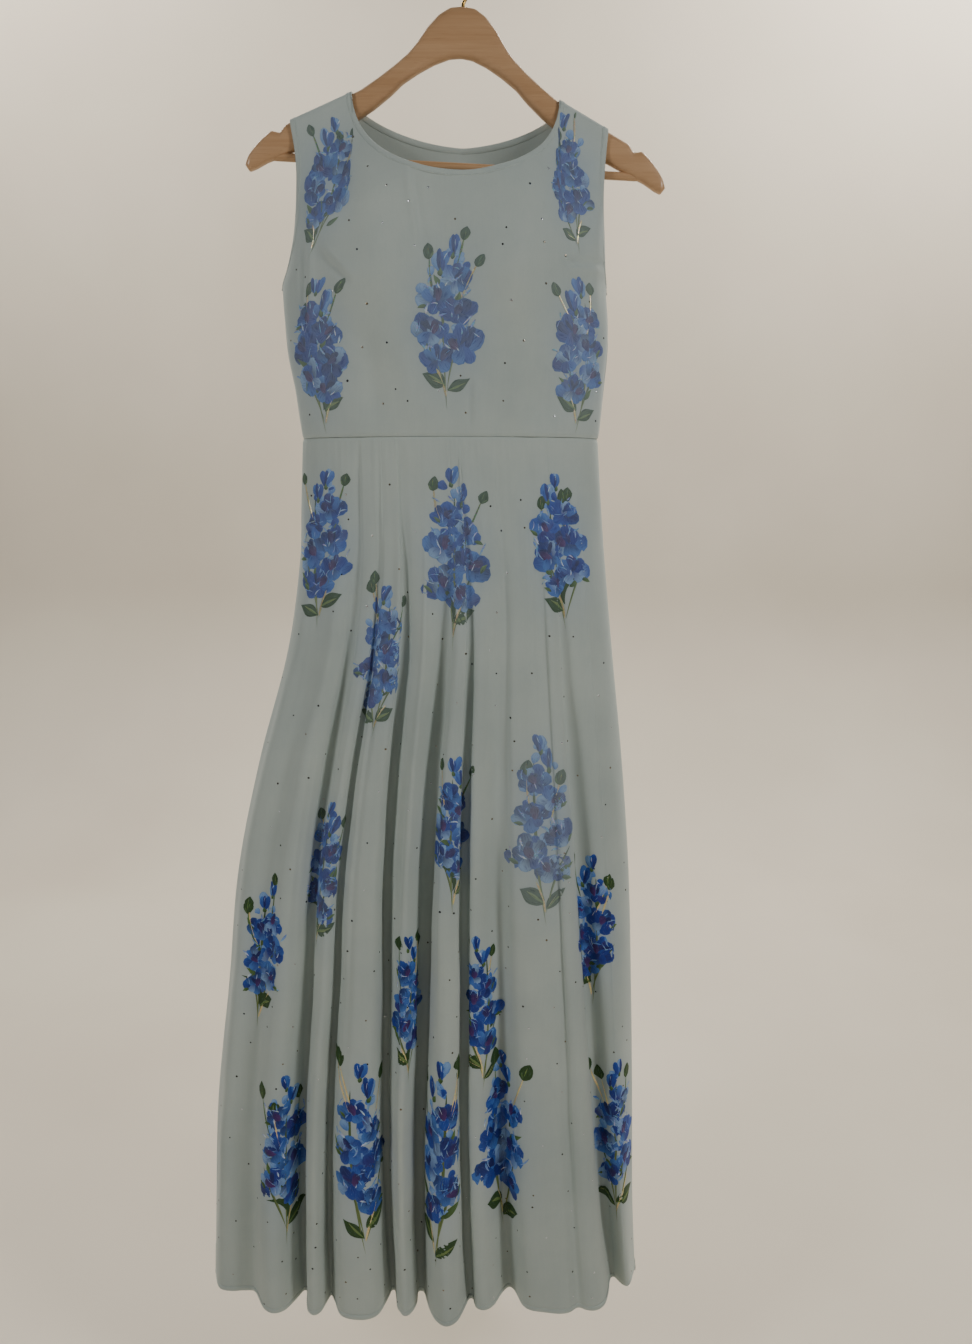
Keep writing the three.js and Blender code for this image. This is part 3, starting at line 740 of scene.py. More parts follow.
@dataclass
class Skirt:
    """The flared lower part: two fluted panels from the waist seam to the hem."""

    waist_z: float = -497.15
    hem_z: float = -1568.0
    ridge_shoulder: float = 0.16
    growth: float = 0.85
    seam_drift: float = 0.75
    drop: float = 1071.0
    rows: int = 116
    seam_rows: tuple[float, ...] = (0.5, 1.2, 2.2, 3.4, 5.0)
    columns: dict[Side, int] = field(default_factory=lambda: {Side.FRONT: 336, Side.BACK: 196})
    ripple_count: int = 30
    ripple_seed: dict[Side, int] = field(default_factory=lambda: {Side.FRONT: 21, Side.BACK: 22})

    def bends(self, side: Side) -> Array:
        """Bends round the hem: three over each ridge and one in each valley.

        Args:
            side: Front or back panel.

        Returns:
            Rows of the place at the waist, x and y at the hem, where the fold starts, and
            the power by which its place drifts.
        """
        waist, ends = SKIRT_LEVELS.row(0), SKIRT_LEVELS.row(-1)
        seam_y = ends["seam_y"]
        rows = [(waist["left"], ends["left"], seam_y, 0.0, self.seam_drift)]
        flutes = FLUTES[side]
        for i, flute in enumerate(flutes):
            before = seam_y if i == 0 else flutes[i - 1].valley_y
            after = seam_y if flute.valley_y is None else flute.valley_y
            spring, way = flute.half * 0.3, (flute.start, flute.drift)
            left_y, right_y = (mix(flute.y, y, self.ridge_shoulder) for y in (before, after))
            rows.append((flute.waist_x - spring, flute.x - flute.half, left_y, *way))
            rows.append((flute.waist_x, flute.x, flute.y, *way))
            rows.append((flute.waist_x + spring, flute.x + flute.half, right_y, *way))
            if flute.valley_x is not None:
                rows.append((flute.valley_waist_x, flute.valley_x, flute.valley_y, *way))
        rows.append((waist["right"], ends["right"], seam_y, 0.0, self.seam_drift))
        return np.array(rows)

    def hem_curve(self, bends: Array, at: Array) -> Array:
        """Centripetal Catmull-Rom curve through the bends' hem points, at places counted in bends."""
        p = bends[:, 1:3]
        p = np.concatenate([[2 * p[0] - p[1]], p, [2 * p[-1] - p[-2]]])
        i = np.clip(at.astype(int), 0, len(bends) - 2)
        t = (at - i)[:, None]
        p0, p1, p2, p3 = p[i], p[i + 1], p[i + 2], p[i + 3]
        chords = (p1 - p0, p2 - p1, p3 - p2)
        d0, d1, d2 = (np.sqrt(np.linalg.norm(chord, axis=1))[:, None] for chord in chords)
        t1 = ((p1 - p0) / d0 - (p2 - p0) / (d0 + d1) + (p2 - p1) / d1) * d1
        t2 = ((p2 - p1) / d1 - (p3 - p1) / (d1 + d2) + (p3 - p2) / d2) * d1
        return p1 + t1 * t + (3 * (p2 - p1) - 2 * t1 - t2) * t ** 2 + (2 * (p1 - p2) + t1 + t2) * t ** 3

    def ripples(self, side: Side, place: Array, fall: Array) -> Array:
        """Small soft folds between the flutes.

        Each is a bell curve across the cloth whose centre drifts down it, faded in and out
        over its own stretch; their places, lengths and depths are uneven.

        Args:
            side: Front or back panel.
            place: Share of the hem's length.
            fall: Share of the drop.

        Returns:
            Their height at each point.
        """
        rng = np.random.default_rng(self.ripple_seed[side])
        relief = np.zeros(np.broadcast(place, fall).shape)
        for k in range(self.ripple_count):
            centre = (k + rng.uniform(0.1, 0.9)) / self.ripple_count
            first, last = sorted((rng.uniform(-0.15, 0.55), rng.uniform(0.35, 1.25)))
            depth = rng.uniform(0.7, 2.6) * rng.choice((-1, 1))
            width = rng.uniform(0.006, 0.013)
            line = centre + rng.uniform(-0.012, 0.012) * fall
            window = smooth((fall - first) / 0.16) * smooth((last - fall) / 0.2)
            relief = relief + depth * np.exp(-((place - line) / width) ** 2) * window
        return relief

    def relief(self, side: Side, place: Array, falls: Array, valleys: list[float], girth: float) -> Array:
        """Fine relief on the flutes: ripples, slits down the valleys, gathers and seams.

        A slit is a bell curve across the cloth, wider towards the waist, and fades at both
        ends. The cloth is drawn in at the waist and side seams as a bell curve from each.

        Args:
            side: The panel's side.
            place: Share of the hem's length at each column.
            falls: Share of the drop at each row, as one column.
            valleys: Share of the hem's length at each flute's valley.
            girth: Length of the hem.

        Returns:
            Height of the relief at each point of the grid.
        """
        relief = self.ripples(side, place[None], falls) + 0.5 * waves(place[None] * 14, falls * 7, 31)
        for flute, valley in zip(FLUTES[side], valleys):
            width = flute.slit_width * (1.9 - 0.9 * falls)
            groove = flute.slit * np.exp(-(((place - valley) * girth)[None] / width) ** 2)
            relief = relief - groove * smooth((falls - 0.04) / 0.4) * smooth((1.03 - falls) / 0.12)
        near_side, below = np.minimum(place, 1 - place)[None], falls * self.drop
        relief = relief * smooth(near_side / 0.02) * smooth(below / 40)
        gathers = np.sin(place * 190) * np.sin(place * 73 + 1) * np.exp(-below / 60)
        dip = 0.8 * np.exp(-(below / 2.4) ** 2) + 0.7 * np.exp(-(near_side * girth / 2.4) ** 2)
        return relief + 0.25 * gathers * smooth(near_side / 0.02) * smooth(below / 4) - dip

    def grid(self, side: Side) -> ClothGrid:
        """The outer face of one panel.

        A column's place across the plain cross-section drifts from its place at the waist
        to its place at the hem, and its flute's depth grows as a power of the fall.
        """
        bends = self.bends(side)
        spans = len(bends) - 1
        dense = np.linspace(0, spans, 6000)
        curve = self.hem_curve(bends, dense)
        length = lengths_along(curve)
        stretch = length / length[-1] * 0.65 + dense / spans * 0.35
        at = np.interp(np.linspace(0, 1, self.columns[side]), stretch, dense)
        seam = np.array([0.12, 0.3, 0.6])
        at = np.sort(np.concatenate([at, seam * at[1], spans - seam * (spans - at[-2])]))
        hem = self.hem_curve(bends, at)
        place = np.interp(at, dense, length) / length[-1]
        waist_x, start, drift = (
            self.eased(np.interp(at, np.arange(spans + 1), bends[:, k])) for k in (0, 3, 4))
        ends = SKIRT_LEVELS.row(-1)
        waist_share, hem_share = (
            (2 * x - row["left"] - row["right"]) / (row["right"] - row["left"])
            for x, row in ((waist_x, SKIRT_LEVELS.row(0)), (hem[:, 0], ends)))
        falls = np.linspace(0, 1, self.rows)
        falls = np.sort(np.concatenate([falls, np.array(self.seam_rows) / self.drop]))[:, None]
        z = mix(self.waist_z, self.hem_z, falls)
        left, right, seam_y = (SKIRT_LEVELS.at(n, z) for n in ("left", "right", "seam_y"))
        plain = SKIRT_LEVELS.at(side.value, z)
        share = mix(waist_share[None], hem_share[None], falls ** drift[None])
        out = -side.turn
        flat_hem_y = ends["seam_y"] + out * ends[side.value] * np.sqrt(np.maximum(0, 1 - hem_share ** 2))
        grown = np.clip((falls - start) / (1 - start), 0, 1) ** self.growth
        x = mix(left, right, 0.5 + share / 2)
        y = seam_y + out * plain * np.sqrt(np.maximum(0, 1 - share ** 2)) + (hem[:, 1] - flat_hem_y) * grown
        y[:, 0], y[:, -1] = seam_y[:, 0] + out * 0.15, seam_y[:, 0] + out * 0.15
        points = np.stack([x, y, np.broadcast_to(z, x.shape)], axis=-1)
        normals = self.squared(normals_of(points, side.turn))
        valleys = [np.interp(4 * i + 4, dense, length) / length[-1] for i in range(len(FLUTES[side]))]
        relief = self.relief(side, place, falls, valleys, length[-1])
        points = points + normals * relief[..., None]
        points[..., 2] += (falls ** 8) * 2.2 * waves(place[None] * 5, falls * 0, 41)
        fresh = self.squared(normals_of(points, side.turn))
        return ClothGrid(side, points, fresh, np.full(len(at), self.waist_z), self.hem_z, falls[:, 0])

    @staticmethod
    def eased(values: Array) -> Array:
        """Values smoothed along the columns, with both ends held."""
        kernel = np.hanning(9) / np.hanning(9).sum()
        padded = np.concatenate([2 * values[0] - values[4:0:-1], values, 2 * values[-1] - values[-2:-6:-1]])
        soft = np.convolve(padded, kernel, "valid")
        soft[0], soft[-1] = values[0], values[-1]
        return soft

    @staticmethod
    def squared(normals: Array) -> Array:
        """Normals kept level at the waist and the hem, and sideways at the side seams."""
        normals = normals.copy()
        normals[0, :, 2], normals[-1, :, 2] = 0, 0
        normals[:, 0, 1], normals[:, -1, 1] = 0, 0
        return unit(normals)


# ---- turned edges and stitches
@dataclass
class EdgeFinish:
    """Turned edges: a folded band wrapped over a panel's edge, and the thread that holds it."""

    width: float = 6.0
    step: float = 2.6
    stitch_pitch: float = 3.4
    stitch_length: float = 2.3
    thread_radius: float = 0.26

    def path(self, grid: ClothGrid, rows: Array, columns: Array, flip: int) -> tuple[Array, Array, Array]:
        """Evenly spaced points of an edge, the outward direction and the way into the cloth.

        Args:
            grid: The panel.
            rows: Row numbers along the edge.
            columns: Column numbers along the edge.
            flip: 1 or -1, so that the third direction points into the cloth.

        Returns:
            Points, outward directions and inward directions.
        """
        points, normals = grid.points[rows, columns], grid.normals[rows, columns]
        length = lengths_along(points)
        even = np.linspace(0, length[-1], max(6, int(length[-1] / self.step)))
        points, normals = read_along(even, length, points), unit(read_along(even, length, normals))
        forward = unit(np.gradient(points, axis=0))
        inward = unit(np.cross(normals, forward)) * flip
        return points, unit(np.cross(forward, inward) * flip), inward

    def band(self, grid: ClothGrid, rows: Array, columns: Array, flip: int) -> Surface:
        """The folded band: a flat rounded loop carried along the edge.

        Args:
            grid: The panel.
            rows: Row numbers along the edge.
            columns: Column numbers along the edge.
            flip: 1 or -1, as for path.

        Returns:
            The band as one surface.
        """
        points, normals, inward = self.path(grid, rows, columns, flip)
        w, t = self.width, CLOTH_WALL
        loop = np.array([
            (w, 0.02), (w - 0.5, 0.3), (w * 0.5, 0.36), (0.5, 0.34), (-0.35, 0.05), (-0.5, -t / 2),
            (-0.35, -t - 0.05), (0.5, -t - 0.34), (w * 0.5, -t - 0.36), (w - 0.5, -t - 0.3),
            (w, -t - 0.02), (w - 0.2, -t / 2)])
        rings = points[:, None] + inward[:, None] * loop[None, :, :1] + normals[:, None] * loop[None, :, 1:]
        if flip * grid.side.turn > 0:
            rings = rings[:, ::-1]
        made = tube(rings, 10.0)
        made.fields["wash"] = np.zeros(len(made.points))
        return made

    def stitches(self, grid: ClothGrid, rows: Array, columns: Array, flip: int) -> Surface:
        """A row of thread stitches near the inner side of the band: small capsules.

        Args:
            grid: The panel.
            rows: Row numbers along the edge.
            columns: Column numbers along the edge.
            flip: 1 or -1, as for path.

        Returns:
            The stitches as one surface.
        """
        points, normals, inward = self.path(grid, rows, columns, flip)
        line = points + inward * (self.width - 1.4) + normals * 0.38
        length = lengths_along(line)
        starts = np.arange(4.0, length[-1] - 5.0, self.stitch_pitch)
        bow = np.array([0.0, 0.12, 0.5, 0.88, 1.0])
        sizes = np.array([0.35, 0.9, 1.0, 0.9, 0.35]) * self.thread_radius
        arch = np.array([-0.16, 0.02, 0.12, 0.02, -0.16])
        where = starts[:, None] + bow[None] * self.stitch_length
        centres, up, aside = (read_along(where, length, values) for values in (line, normals, inward))
        up, aside = unit(up), unit(aside)
        centres = centres + up * arch[None, :, None]
        angle = np.arange(6) * math.pi / 3
        circle = (np.cos(angle)[:, None] * aside[:, :, None] + np.sin(angle)[:, None] * up[:, :, None])
        rings = centres[:, :, None] + circle * sizes[None, :, None, None]
        winding = 1 if flip * grid.side.turn > 0 else -1
        return join([tube(r[:, ::winding], 2.0) for r in rings])


# ---- painted sprays
class Stroke(Enum):
    """Kinds of brush stroke: points along and across it, where it is widest, and how blunt it is."""

    PETAL = (7, 7, 1.4, 0.5)
    LEAF = (12, 5, 0.8, 1.1)
    BUD = (8, 5, 0.9, 0.8)
    STALK = (15, 3, 1.5, 0.6)
    STEM = (15, 3, 1.0, 0.3)
    FLICK = (7, 3, 1.0, 0.9)


PAINTS = {name: linear(code) for name, code in {
    "navy": "121b5c", "ultramarine": "1b3189", "cobalt": "2348a6", "cornflower": "4375c2",
    "periwinkle": "6584c2", "sky": "8bafda", "violet": "332d78", "magenta": "51286e", "plum": "281b58",
    "white": "e2eaf2", "green": "2c4a22", "moss": "5c7d40", "olive": "7f8f52", "gold": "dccd9a",
}.items()}

# How far a stroke's rim stands over the cloth, and the colour that veiled paint leans to.
RIM_LIFT = 0.18
VEIL = "a9b6bb"


@dataclass
class StrokeSet:
    """Brush strokes of one kind, kept as rows of numbers until they are laid on the cloth."""

    kind: Stroke
    rows: list[tuple[float, ...]] = field(default_factory=list)

    def add(self, x: float, z: float, heading: float, length: float, half_width: float, bend: float,
            first: str, last: str, lift: float) -> None:
        """Adds a stroke.

        Args:
            x: Start, across.
            z: Start, up.
            heading: Direction in radians, clockwise from straight up.
            length: Length of the stroke.
            half_width: Half of its greatest width.
            bend: How far it turns from start to end, in radians.
            first: Paint at its start.
            last: Paint at its end.
            lift: Thickness of the paint at its middle.
        """
        self.rows.append((x, z, heading, length, half_width, bend, lift, *PAINTS[first], *PAINTS[last]))

    def flat(self) -> tuple[Array, Array, Array, Array, Array]:
        """Works out every stroke as a flat patch.

        The centre line is an arc: the heading turns evenly along it. The half width is
        sin(pi * s^a)^b of the greatest, and the paint is domed across the stroke.

        Returns:
            Distances across and up, lift, colour and pattern coordinates of the patches.
        """
        along, across, skew, blunt = self.kind.value
        table = np.array(self.rows)
        x, z, heading, length, half, bend, lift = (table[:, k][:, None] for k in range(7))
        s = 0.5 - 0.5 * np.cos(math.pi * np.linspace(0.015, 0.985, along))
        t = np.linspace(-1, 1, across)
        angle = heading + bend * (s[None] - 0.35)
        step = np.diff(np.concatenate([[0], s]))[None] * length
        line_x = x + np.cumsum(np.sin(angle) * step, axis=1)
        line_z = z + np.cumsum(np.cos(angle) * step, axis=1)
        spread = half * np.sin(math.pi * s[None] ** skew) ** blunt
        wobble = 1 + 0.1 * np.sin(7.3 * s[None] + 2.1 * x)
        offset = (spread * wobble)[..., None] * t
        patch_x = line_x[..., None] + offset * np.cos(angle)[..., None]
        patch_z = line_z[..., None] - offset * np.sin(angle)[..., None]
        dome = (1 - np.abs(t) ** 3)[None, None] * np.minimum(1, 4 * np.sin(math.pi * s))[None, :, None]
        height = RIM_LIFT + (lift[..., None] - RIM_LIFT) * dome
        first, last = table[:, 7:10][:, None, None], table[:, 10:13][:, None, None]
        lean = 0.35 * np.sin(np.arange(len(table)) * 2.3)[:, None, None, None]
        blend = np.clip(s[None, :, None, None] + lean * t[None, None, :, None], 0, 1)
        body = mix(first, last, blend)
        if self.kind is Stroke.PETAL:
            thin = np.maximum(np.abs(t)[None, :] ** 6, (2 * np.abs(s - 0.5)[:, None]) ** 9)
            body = mix(body, np.array(PAINTS["cornflower"]), 0.5 * thin[None, :, :, None])
        colour = np.concatenate([body, np.ones((len(table), along, across, 1))], axis=-1)
        seed = (np.arange(len(table)) * 0.37 % 5)[:, None, None]
        pattern = np.stack([np.broadcast_to(s[None, :, None] * length[..., None] / 12, patch_x.shape) + seed,
                            np.broadcast_to(t * 0.5, patch_x.shape) + seed], axis=-1)
        return patch_x, patch_z, height, colour, pattern


@dataclass(frozen=True)
class Spray:
    """A painted spray of blue florets: its middle, height, width, lean and how veiled its paint is."""

    x: float
    z: float
    height: float
    width: float
    lean: float = 0.0
    haze: float = 0.0

    @property
    def bloom(self) -> float:
        """The measure that the florets' sizes are shares of."""
        return 0.35 * self.height + 1.8 * self.width


Strokes = dict[Stroke, StrokeSet]


@dataclass
class SprayPainter:
    """Paints sprays in loose brush strokes, no two alike."""

    seed: int
    deep: tuple[str, ...] = ("navy", "navy", "navy", "ultramarine", "ultramarine", "cobalt", "violet")
    pale: tuple[str, ...] = ("cobalt", "cornflower", "cornflower", "ultramarine", "sky")
    sizes: tuple[float, ...] = (0.053, 0.063, 0.074, 0.078, 0.084, 0.088, 0.088, 0.08)
    spreads: tuple[float, ...] = (0.06, 0.18, 0.24, 0.3, 0.36, 0.4, 0.36, 0.22)
    buds: int = 2
    dab_count: int = 26
    rng: Random | None = None
    sets: Strokes = field(default_factory=dict)

    def paint(self, spray: Spray) -> Strokes:
        """All the strokes of one spray, about its middle."""
        self.rng = rng = np.random.default_rng(self.seed)
        self.seed += 1
        self.sets = {kind: StrokeSet(kind) for kind in Stroke}
        self.stems(spray)
        self.dabs(spray)
        first = int(rng.choice((-1, 1)))
        for k, (size, spread) in enumerate(zip(self.sizes, self.spreads)):
            z = (mix(0.38, -0.22, k / (len(self.sizes) - 1)) + rng.uniform(-0.012, 0.012)) * spray.height
            side = first if k % 2 else -first
            x = side * spread * rng.uniform(0.75, 1.2) * spray.width / 2 + spray.lean * z
            size = size * spray.bloom * rng.uniform(0.9, 1.1)
            if k < self.buds:
                self.closed_floret(x, z, size)
            else:
                self.floret(x, z, size, side)
        return self.sets

    def stems(self, spray: Spray) -> None:
        """Main stem, side stems with buds, leaves and tendrils."""
        sets, rng = self.sets, self.rng
        h, w, lean = spray.height, spray.width, spray.lean
        stem, stalk, leaf = sets[Stroke.STEM], sets[Stroke.STALK], sets[Stroke.LEAF]
        foot, lean_at = -0.5 * h, lean * -0.5 * h
        turn = rng.uniform(-0.12, 0.12)
        stalk.add(lean_at, foot, math.atan(lean) + turn, 0.8 * h, h * 0.0072, -2 * turn,
                  "olive", "green", 0.42)
        first = int(rng.choice((-1, 1)))
        for side in (first, -first):
            stalk.add(lean_at + side * 0.5, foot * rng.uniform(0.8, 0.9), side * rng.uniform(0.15, 0.36),
                      0.36 * h, h * 0.006, side * rng.uniform(0.0, 0.5), "olive", "green", 0.46)
        stem.add(lean_at + first * 0.5, foot * 0.86, first * rng.uniform(0.1, 0.35),
                 h * rng.uniform(0.15, 0.22), 1.4, first * 0.4, "gold", "gold", 0.6)
        self.leaf(lean_at + first, foot * rng.uniform(0.7, 0.78), first * rng.uniform(0.8, 1.15),
                  h * rng.uniform(0.13, 0.17), h * rng.uniform(0.036, 0.046),
                  first * rng.uniform(0.0, 0.7))
        if rng.random() < 0.6:
            self.leaf(lean_at - first, foot * rng.uniform(0.78, 0.9), -first * rng.uniform(0.7, 1.2),
                      h * rng.uniform(0.12, 0.16), h * rng.uniform(0.028, 0.042),
                      -first * rng.uniform(-0.3, 0.9))
        else:
            leaf.add(lean_at - first, foot * 0.7, -first * 0.2, h * rng.uniform(0.2, 0.26), h * 0.018,
                     -first * rng.uniform(1.9, 2.6), "green", "green", 0.5)
        for k in range(int(rng.integers(3, 6))):
            side = first if k % 2 else -first
            leaf.add(side * w * rng.uniform(0.02, 0.2), foot * rng.uniform(-0.3, 0.6),
                     side * rng.uniform(0.2, 1.1), h * rng.uniform(0.08, 0.13), h * 0.017,
                     side * rng.uniform(-0.9, 1.2), "green", "moss", 0.5)
        for k in range(int(rng.integers(2, 4))):
            self.side_bud(spray, first if k % 2 else -first, k)

    def leaf(self, x: float, z: float, heading: float, length: float, half: float, bend: float) -> None:
        """A broad leaf: a dark blade, a lighter streak beside its middle and a fine tip.

        Args:
            x: Its foot, across.
            z: Its foot, up.
            heading: Direction, clockwise from up.
            length: Its length.
            half: Half of its width.
            bend: How far it turns, in radians.
        """
        sets, rng = self.sets, self.rng
        blade = sets[Stroke.LEAF]
        blade.add(x, z, heading, length, half, bend, "green", "green", 0.5)
        blade.add(x, z, heading + 0.08, length * 0.8, half * 0.3, bend * 0.9, "moss", "olive", 0.62)
        sets[Stroke.STALK].add(x, z - 1, heading - bend * 0.3, length * 0.35, half * 0.16, bend * 0.4,
                               "green", "green", 0.56)
        if rng.random() < 0.3:
            sets[Stroke.FLICK].add(x, z, heading - 0.08, length * 0.6, half * 0.08, bend * 0.8,
                                   "gold", "gold", 0.7)

    def side_bud(self, spray: Spray, side: int, number: int) -> None:
        """A green bud on a curved stem beside the top of the spray.

        Args:
            spray: The spray.
            side: -1 for the left, 1 for the right.
            number: The first bud, 0, has a gold stem.
        """
        sets, rng = self.sets, self.rng
        h = spray.height
        x, z = side * spray.width * rng.uniform(0.06, 0.2), h * rng.uniform(0.0, 0.2)
        heading, bend = side * rng.uniform(0.1, 0.45), -side * rng.uniform(-0.1, 0.45)
        reach = h * rng.uniform(0.17, 0.26)
        gold = number == 0 or rng.random() < 0.4
        paint, tip = ("gold", "gold") if gold else ("green", "moss")
        sets[Stroke.STEM].add(x, z, heading, reach, 1.2 if gold else 1.1, bend, paint, tip, 0.55)
        end_x = x + math.sin(heading + bend * 0.15) * reach
        end_z = z + math.cos(heading + bend * 0.15) * reach
        size = h * rng.uniform(0.072, 0.09)
        sets[Stroke.BUD].add(end_x, end_z - 1.5, heading + bend, size, size * rng.uniform(0.34, 0.42), 0.15,
                             "green", "green", 0.56)
        sets[Stroke.FLICK].add(end_x + side * 0.8, end_z + size * 0.15, heading + bend, size * 0.6,
                               size * 0.08, 0.1, "moss", "olive", 0.64)
        sets[Stroke.LEAF].add(end_x, end_z - 1, heading + bend + rng.uniform(-0.9, 0.9), size * 0.5,
                              size * 0.1, 0.3, "green", "moss", 0.6)

    def closed_floret(self, x: float, z: float, size: float) -> None:
        """A bud near the top: overlapping upright petals and a green cup."""
        sets, rng = self.sets, self.rng
        for first, tip, spread, lift in (
                ("cornflower", "sky", 0.44, 0.45), ("cobalt", "cornflower", 0.36, 0.52),
                ("ultramarine", "cobalt", 0.34, 0.6), ("navy", "ultramarine", 0.24, 0.68)):
            sets[Stroke.PETAL].add(
                x + rng.uniform(-2.5, 2.5), z - size * 0.7, rng.uniform(-0.35, 0.35),
                size * rng.uniform(1.3, 1.7), size * spread, rng.uniform(-0.5, 0.5), first, tip, lift)
        sets[Stroke.LEAF].add(x, z - size, rng.uniform(-0.4, 0.4), size * 0.6, size * 0.2, 0.2,
                              "green", "moss", 0.72)
        sets[Stroke.FLICK].add(x + rng.uniform(-2, 2), z, rng.uniform(-0.5, 0.5), size * 0.6, size * 0.08,
                               0.5, "sky", "white", 0.76)

    def floret(self, x: float, z: float, size: float, side: int) -> None:
        """A cupped floret: broad upright petals, a drooping lip, a dark heart and pale streaks.

        Args:
            x: Its place across.
            z: Its height.
            size: Its size.
            side: -1 where it leans left, 1 right.
        """
        sets, rng = self.sets, self.rng
        petal, flick = sets[Stroke.PETAL], sets[Stroke.FLICK]
        axis = side * rng.uniform(-0.3, 0.9)
        foot_x, foot_z = x - math.sin(axis) * size * 0.45, z - math.cos(axis) * size * 0.45
        for k, turn in enumerate((-1.3, 1.2, -0.7, 0.65, 0.0)):
            heading = axis + turn * rng.uniform(0.8, 1.15)
            first, last = str(rng.choice(self.pale)), str(rng.choice(self.deep))
            if rng.random() < 0.45:
                first, last = last, first
            petal.add(foot_x, foot_z, heading, size * rng.uniform(1.0, 1.45), size * rng.uniform(0.36, 0.54),
                      -turn * rng.uniform(0.1, 0.7), first, last, 0.46 + 0.03 * k)
        for k in range(2):
            heading = axis + math.pi + (k - 0.5) * rng.uniform(0.7, 1.5)
            petal.add(x, z - size * 0.15, heading, size * rng.uniform(0.7, 1.0),
                      size * rng.uniform(0.34, 0.5), rng.uniform(-0.8, 0.8),
                      str(rng.choice(self.deep)), str(rng.choice(self.pale)), 0.6 + 0.03 * k)
        for _ in range(2):
            heading = axis + rng.uniform(-1.0, 1.0)
            petal.add(x - math.sin(heading) * size * 0.2, z - math.cos(heading) * size * 0.2, heading,
                      size * rng.uniform(0.6, 0.95), size * rng.uniform(0.14, 0.26), rng.uniform(-0.8, 0.8),
                      "navy", str(rng.choice(self.deep)), 0.7)
        if rng.random() < 0.8:
            petal.add(x - side * size * 0.2, z - size * 0.35, axis + rng.uniform(-0.8, 0.8),
                      size * rng.uniform(0.65, 0.95), size * rng.uniform(0.28, 0.4), 0.4,
                      "violet" if rng.random() < 0.3 else "magenta", "plum", 0.8)
        for k in range(int(rng.integers(5, 9))):
            heading = rng.uniform(0, 2 * math.pi)
            reach = size * rng.uniform(0.2, 0.95)
            flick.add(x + math.sin(heading) * reach, z + math.cos(heading) * reach,
                      axis + rng.uniform(-1.2, 1.2), size * rng.uniform(0.35, 0.75),
                      size * rng.uniform(0.03, 0.1), rng.uniform(-1.2, 1.2),
                      "white" if rng.random() < 0.25 else "sky",
                      str(rng.choice(("periwinkle", "cornflower"))), 0.84)
        if rng.random() < 0.5:
            sets[Stroke.LEAF].add(x + side * size * 0.5, z - size * 0.6, side * rng.uniform(0.3, 1.8),
                                  size * 0.6, size * 0.14, side * 0.8, "green", "moss", 0.8)

    def dabs(self, spray: Spray) -> None:
        """Loose watery dabs behind the florets, and a few small deep ones at their rim."""
        rng = self.rng
        for k in range(self.dab_count):
            turn, reach = rng.uniform(0, 2 * math.pi), rng.uniform(0, 1) ** 0.6
            x = math.cos(turn) * reach * spray.width * 0.27
            z = (0.05 + 0.3 * math.sin(turn) * reach) * spray.height
            size = spray.bloom * rng.uniform(0.035, 0.06)
            paint, tip, lift = ("cornflower", "sky", 0.36) if k % 3 else ("ultramarine", "cobalt", 0.42)
            self.sets[Stroke.PETAL].add(x, z, rng.uniform(-1.2, 1.2), size, size * rng.uniform(0.3, 0.5),
                                        rng.uniform(-1, 1), paint, tip, lift)


# Rows of the fields of Spray.
SPRAYS = {panel: tuple(Spray(*row) for row in rows) for panel, rows in {
    "front_bodice": (
        (-142, -236, 158, 84, 0.03, 0.3), (104, -232, 158, 80, -0.03, 0.3),
        (-161, -408, 172, 84, -0.04, 0.26), (-19, -376, 186, 88, 0.02, 0.3),
        (125, -408, 172, 80, 0.06, 0.3),
    ),
    "back_bodice": (
        (-128, -238, 156, 64, -0.04), (94, -240, 150, 66, 0.04), (-18, -300, 172, 72, 0.03),
        (-130, -412, 160, 66, 0.04), (58, -408, 164, 68, -0.03),
    ),
    "front_skirt": (
        (-159, -612, 188, 84, 0.0, 0.16), (-13, -622, 214, 88, 0.03, 0.22),
        (101, -614, 188, 84, -0.03, 0.12), (-98, -736, 186, 78, -0.04, 0.2),
        (-170, -990, 204, 84, 0.04, 0.16), (-15, -935, 204, 84, 0.0, 0.1),
        (88, -930, 250, 92, 0.03, 0.36), (-244, -1096, 204, 72, 0.05), (14, -1156, 214, 78, -0.03),
        (146, -1070, 214, 80, 0.04), (-69, -1150, 208, 72), (-223, -1352, 256, 88),
        (-128, -1340, 276, 98, -0.02), (-40, -1346, 296, 98, 0.02), (42, -1338, 270, 102, 0.03),
        (184, -1350, 252, 84, 0.04),
    ),
    "back_skirt": (
        (-128, -612, 188, 70), (-20, -640, 192, 76), (92, -612, 188, 70), (-80, -800, 194, 74),
        (40, -810, 194, 74), (-190, -910, 194, 74), (134, -890, 194, 70), (-110, -1000, 206, 78),
        (12, -1010, 206, 78), (-214, -1140, 210, 80), (96, -1130, 210, 78), (-56, -1180, 210, 80),
        (-296, -1350, 240, 84), (-208, -1362, 250, 90), (-120, -1352, 250, 90), (-38, -1366, 252, 92),
        (52, -1350, 250, 90), (136, -1362, 246, 88), (192, -1230, 204, 68),
    ),
}.items()}


